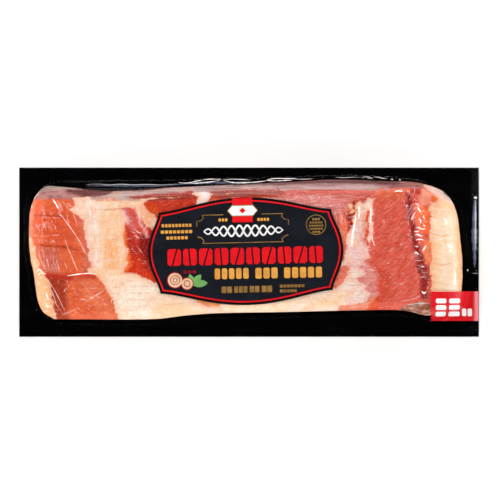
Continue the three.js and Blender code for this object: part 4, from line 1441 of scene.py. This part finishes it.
leaf = {"points": 14, "width": 0.26, "blunt": 0.8, "bow": 0.08}
ribbon = {"left": -8.2, "right": 5.0, "low": 19.2, "high": 34.4, "teeth": 11, "toothDepth": 0.6}
tile = {
    "count": 10,
    "left": -50.8,
    "right": -42.0,
    "pitch": 10.22,
    "low": -8.5,
    "high": 2.4,
    "chamfer": 1.3,
    "sides": (3.7, 3.1),  # how far the slit stays from the tile's two ends
    "slant": 0.6,
    "slit": 0.55,
}
# rows of plain blocks: how many, left, right, low, high, the gap between them and their cut corners
rowLayouts = {
    "label_gold_row": [
        (5, -20.4, 1.6, -17.8, -10.8, 1.1, 0.7), (3, 6.0, 20.4, -17.9, -10.9, 1.1, 0.7),
        (5, 24.6, 49.2, -18, -11, 1.1, 0.7)],
    "label_gold_notes": [
        (9, -54.2, -34.8, 16.6, 18.7, 0.5, 0.3), (8, -54.8, -34.4, 12.5, 14.6, 0.5, 0.3),
        (6, -51.2, -37.4, 8.6, 10.7, 0.5, 0.3), (3, -17.2, -11.4, 19.6, 21.6, 0.5, 0.3),
        (4, 8.0, 15.6, 19.4, 21.4, 0.5, 0.3)],
    "label_small_print": [
        (2, -16.2, -9.4, -26.8, -22.6, 0.5, 0.3), (3, -8.0, 0.6, -26.8, -22.6, 0.5, 0.3),
        (2, 2.0, 8.4, -26.8, -22.6, 0.5, 0.3), (2, 9.8, 16.6, -26.8, -22.6, 0.5, 0.3),
        (7, 21.6, 37.6, -24.1, -22.2, 0.35, 0.2), (5, 21.6, 32.6, -27.2, -25.3, 0.35, 0.2)],
    "label_seal_bars": [
        (3, 43.6, 48.4, 19.0, 20.6, 0.3, 0.2), (5, 41.8, 50.2, 17.0, 18.2, 0.3, 0.2),
        (6, 41.2, 50.8, 15.0, 16.2, 0.3, 0.2), (5, 41.8, 50.2, 13.0, 14.2, 0.3, 0.2),
        (3, 43.6, 48.4, 10.9, 12.2, 0.3, 0.2)],
}


def buildLabel():
    shield = shieldOutline()
    field = inkMaterial("Blue-black ink", "#0b0e15", "#12161f", 0.5)
    border = inkMaterial("Black ink", "#040406", "#08080a", 0.45)
    red = inkMaterial("Red ink", "#e4121c", "#d20a15", 0.5)
    gold = inkMaterial("Gold ink", "#e3a24a", "#c98a3a", 0.45)
    brown = inkMaterial("Brown-gold ink", "#96703a", "#75552a", 0.42)
    white = inkMaterial("White ink", "#f6f4f2", "#e4e0dc", 0.36)
    cream = inkMaterial("Cream ink", "#ecc8a6", "#dba884", 0.45)
    green = inkMaterial("Leaf green ink", "#80b468", "#5f9a50", 0.45)
    berry = inkMaterial("Dark red ink", "#a01228", "#780c1c", 0.34)
    pieces = []

    def add(name, loopSets, material, layer, spacing=3.0):
        turned = [[turnedLoop(loop) for loop in loops] for loops in loopSets]
        sheets = [flatSheet(loops, label["ink"], spacing) for loops in turned]
        pieces.append(inkPiece(name, sheets, material, layer))

    body = flatSheet([turnedLoop(shield)], label["thickness"], 2.4)
    pieces.append(toObject("label_field", layOnFilm(body[0], label["lift"]), body[1], field, flat=True))
    outer = insetLoop(shield, 0.02)
    keyOuter = insetLoop(shield, label["border"])
    keyInner = insetLoop(shield, label["border"] + label["keyline"])
    add("label_border", [[outer, insetLoop(shield, label["border"] - 0.05)]], border, 1)
    add("label_keyline", [[keyOuter, keyInner]], red, 1)
    # the ribbon that hangs from the top edge, with a pinked end
    steps = ribbon["teeth"] * 2
    loop = [(ribbon["right"], ribbon["high"]), (ribbon["left"], ribbon["high"])]
    for k in range(steps + 1):
        x = mix(ribbon["left"], ribbon["right"], k / steps)
        loop.append((x, ribbon["low"] - ribbon["toothDepth"] * (k % 2)))
    add("label_ribbon", [[loop]], red, 2)
    # a plain badge across the ribbon
    badge = [(-11.6, 26.4), (-8.4, 22.7), (5.4, 22.7), (8.6, 26.4), (5.4, 30.1), (-8.4, 30.1)]
    add("label_badge_rim", [[badge]], brown, 3)
    add("label_badge", [[insetLoop(badge, 0.55)]], white, 4)
    diamond = [(-3.6, 26.4), (-1.5, 24.5), (0.6, 26.4), (-1.5, 28.3)]
    add("label_badge_mark", [[diamond]], red, 5)
    # the bracketed frame, open at the sides
    line = 0.55
    top = [(-28, 24.2), (-27.2, 22.2), (-28.8, 20.6), (-31.6, 20), (-31.6, 16.6), (-31.6 + line, 16.6),
           (-31.6 + line, 20 - line * 0.2), (-28.4, 20.2), (-26.6, 22.2), (-27.4, 24.2 - line),
           (-14, 24.2 - line), (-14, 24.2)]
    low = [(-28, 5.4), (-27.2, 7.4), (-28.8, 9), (-31, 9.6), (-31, 10.4), (-28.4, 9.5), (-26.5, 7.5),
           (-27.3, 5.4 + line), (0, 5.4 + line), (0, 5.4)]
    flip = [[(2 * -1.6 - x, y) for x, y in reversed(loop)] for loop in (top, low)]
    add("label_frame", [[top[::-1]], [low], [flip[0][::-1]], [flip[1]]], brown, 1)
    # a plain twisted band
    add("label_ornament", [[stroke] for stroke in twistedBand(-27, 24.6, 13.3, 5, 3.5)], white, 1, 2.0)

    rows = blockTree()

    def addRows(name, material):
        parts = [printedRow(rows, *row, material) for row in rowLayouts[name]]
        pieces.append(inkPiece(name, parts, material, 1))

    # a wide row of tiles, each with a slanted slit, which slants the other way in every second tile
    loops = []
    low, high, cut, slit = tile["low"], tile["high"], tile["chamfer"], tile["slit"]
    for k in range(tile["count"]):
        left, right = tile["left"] + k * tile["pitch"], tile["right"] + k * tile["pitch"]
        wide, narrow = tile["sides"]
        a, b = (left + narrow, right - wide) if k % 2 else (left + wide, right - narrow)
        a, b = (b - tile["slant"], a + tile["slant"]) if k % 2 else (a - tile["slant"], b + tile["slant"])
        loops.append([(left + cut, low), (a - slit, low), (b - slit, high), (left + cut, high),
                      (left, high - cut), (left, low + cut)])
        loops.append([(a + slit, low), (right - cut, low), (right, low + cut), (right, high - cut),
                      (right - cut, high), (b + slit, high)])
    add("label_wide_row", [[loop] for loop in loops], red, 1)
    addRows("label_gold_row", gold)
    addRows("label_gold_notes", gold)
    addRows("label_small_print", brown)
    # a round seal with plain bars
    add("label_seal", [ringLoops(46.0, 16.2, 6.6, 0.55)], brown, 1)
    addRows("label_seal_bars", brown)

    # the small picture: a fan of three leaves, two cut rounds of wood and a row of dots
    add("label_leaves", [[leafLoop(-33.4, -22.0, 8.6, turn)] for turn in (112, 62, 14)], green, 1, 2.0)
    add("label_bark", [[disc(-46.2, -17.8, 5.4)], [disc(-38.4, -20.2, 4.2)]], berry, 1, 2.0)
    add("label_wood", [[disc(-46.2, -17.8, 4.7)], [disc(-38.4, -20.2, 3.6)]], cream, 2, 2.0)
    add("label_rings", [ringLoops(-46.2, -17.8, 3.2, 0.5, 28), ringLoops(-46.2, -17.8, 1.6, 0.5, 20),
                        ringLoops(-38.4, -20.2, 2.2, 0.45, 24)], berry, 3, 2.0)
    add("label_dots", [[disc(x, -12.6, 1.15, 16)] for x in (-39.6, -36.6, -33.6)], berry, 1, 2.0)
    print("label:", len(pieces), "pieces")
    return pieces


def tagMaterial():
    m = Recipe("Red tag ink")
    split = m.put("ShaderNodeSeparateXYZ", {0: m.place()})
    # a painted highlight: the red pales towards the right edge, broken into streaks
    sheen = m.ramp(split.outputs["X"], tag["sheenFrom"], tag["sheenFrom"] + tag["sheenOver"])
    streak = m.ramp(m.noise((2, 30, 9), 2), 0.35, 0.65, 0.75, 1.0)
    worn = m.ramp(m.noise((9, 7, 9), 4), 0.35, 0.7)
    red = m.blend(worn, "#dc1c26", "#d4141f")
    m.skin(Base_Color=m.blend(m.math("MULTIPLY", sheen, streak), red, "#f58a8e"), Roughness=0.36,
           Specular_IOR_Level=0.22, Normal=m.bump(m.noise((5, 8, 5), 3), 0.12, 0.25))
    return m.material


# left, right, low, high and cut corner of each block on the tag
tagBars = [(left, right, low, low + 3.1, 0.7)
           for left, right in ((121.2, 128.0), (129.8, 137.4)) for low in (-41.8, -37.5, -33.2)]
tagBars += [(left, left + 2.9, -41.8, -36.8, 0.6) for left in (138.9, 142.6)]


def buildTag():
    outline = [(tag["right"], tag["low"]), (tag["right"], tag["high"])]
    for k in range(tag["teeth"] * 2 + 1):
        y = mix(tag["high"], tag["low"], k / (tag["teeth"] * 2))
        left = tag["left"] - tag["spread"] * smooth(y, tag["low"], tag["low"] + tag["spreadOver"])
        outline.append((left + (k % 2) * tag["toothDepth"], y))
    body = flatSheet([outline], label["thickness"], tag["spacing"])
    laid = layOnFilm(body[0], label["lift"], bridgedHeight)
    field = toObject("tag_field", laid, body[1], tagMaterial(), flat=True)
    white = inkMaterial("White tag ink", "#fbfbfb", "#eeeeee", 0.36)
    sheets = [flatSheet([block(*bar)], tag["blockHeight"], tag["spacing"]) for bar in tagBars]
    return [field, inkPiece("tag_blocks", sheets, white, 1, bridgedHeight)]


# Put the pack together

slices = buildSlices(meatMaterial())
print("slices:", len(slices.data.polygons), "faces")
sheet = buildFilm(filmMaterial())
print("film:", len(sheet.data.polygons), "faces")
foldPiece = buildFolds("film_folds", folds + glintDashLines(), paintedLightMaterial("Painted fold highlights", 0.32))
glintPiece = buildFolds("film_glints", glints, paintedLightMaterial("Painted white glints", 0.8, 0.45))
sheenPiece = buildFolds("film_painted_sheen", paintedSheens, paintedLightMaterial("Painted film sheen", 0.15, 0.2, "#9aaac8", "#8496b8"))
print("folds:", sum(len(piece.data.polygons) for piece in (foldPiece, glintPiece, sheenPiece)), "faces")
labelPieces = buildLabel()
tagPieces = buildTag()

for piece in (slices, sheet, foldPiece, glintPiece, sheenPiece):
    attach(piece, "root")
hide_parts("sealed_bacon")
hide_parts("sealed_bacon")
for piece in labelPieces:
    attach(piece, "root")
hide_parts("label_panel")
for piece in tagPieces:
    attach(piece, "root")
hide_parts("tag_panel")

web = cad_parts["backing_web"]
web.data.materials.clear()
web.data.materials.append(webMaterial())


# Floor, light and camera

studio = {
    "floor": 6.0,
    "floorDrop": 0.0002,     # keeps the floor clear of the pack's underside
    "bounces": 24,           # the film, its folds and glints lie over each other
    "imageWidth": 326.4,     # what the photograph's 500 pixels span at the pack
    "lens": 500,
    "sensor": 36,
    "aim": (0.6, 1.4),
    "lights": [
        # from where, in metres, its size and its radiance
        ((-1.15, 0.35, 1.1), (0.35, 1.0), 9),
        ((1.15, 0.25, 1.1), (0.22, 1.0), 10),
        ((0.1, 1.25, 1.0), (1.2, 0.25), 6),
        ((0.0, -1.3, 1.0), (1.2, 0.25), 8),
    ],
    "glow": 0.1,  # keeps the pale floor as white as the photograph's
    "sky": (0.0, 1.15, 38, 62),  # radiance overhead and low down, and the angles between them
}


def buildStudio():
    half = studio["floor"] / 2
    corners = np.array([(-half, -half, 0), (half, -half, 0), (half, half, 0), (-half, half, 0)])
    floor = toObject("floor", corners / mm, [(0, 1, 2, 3)])
    m = Recipe("Pale floor")
    m.skin(Base_Color=m.blend(m.noise(180, 3), "#fafafa", "#fdfdfd"), Roughness=0.8,
           Emission_Color="#ffffff", Emission_Strength=studio["glow"])
    floor.data.materials.append(m.material)
    floor.location.z = -studio["floorDrop"]
    for place, size, radiance in studio["lights"]:
        lamp = bpy.data.lights.new("softbox", "AREA")
        lamp.shape = "RECTANGLE"
        lamp.size, lamp.size_y = size
        lamp.energy = radiance * math.pi * size[0] * size[1]
        thing = bpy.data.objects.new("softbox", lamp)
        thing.location = place
        thing.rotation_euler = (-Vector(place)).to_track_quat("-Z", "Y").to_euler()
        thing.visible_camera = False
        scene.collection.objects.link(thing)
    world = bpy.data.worlds.new("Studio")
    world.use_nodes = True
    tree = world.node_tree
    upward = tree.nodes.new("ShaderNodeSeparateXYZ")
    tree.links.new(tree.nodes.new("ShaderNodeTexCoord").outputs["Generated"], upward.inputs[0])
    fade = tree.nodes.new("ShaderNodeMapRange")
    fade.interpolation_type = "SMOOTHSTEP"
    overhead, around, near, far = studio["sky"]
    values = (math.cos(math.radians(far)), math.cos(math.radians(near)), around, overhead)
    for key, value in zip(("From Min", "From Max", "To Min", "To Max"), values):
        fade.inputs[key].default_value = value
    tree.links.new(upward.outputs["Z"], fade.inputs["Value"])
    tree.links.new(fade.outputs[0], tree.nodes["Background"].inputs["Strength"])
    tree.nodes["Background"].inputs["Color"].default_value = (1, 1, 1, 1)
    scene.world = world
    camera = bpy.data.cameras.new("camera")
    camera.lens, camera.sensor_width = studio["lens"], studio["sensor"]
    distance = studio["lens"] / studio["sensor"] * studio["imageWidth"] * mm
    camera.clip_end = distance * 4
    eye = bpy.data.objects.new("camera", camera)
    eye.location = (studio["aim"][0] * mm, studio["aim"][1] * mm, distance)
    scene.collection.objects.link(eye)
    scene.camera = eye
    scene.view_settings.view_transform = "Standard"
    scene.view_settings.look = "None"
    scene.cycles.transparent_max_bounces = studio["bounces"]


buildStudio()
print("studio ready")
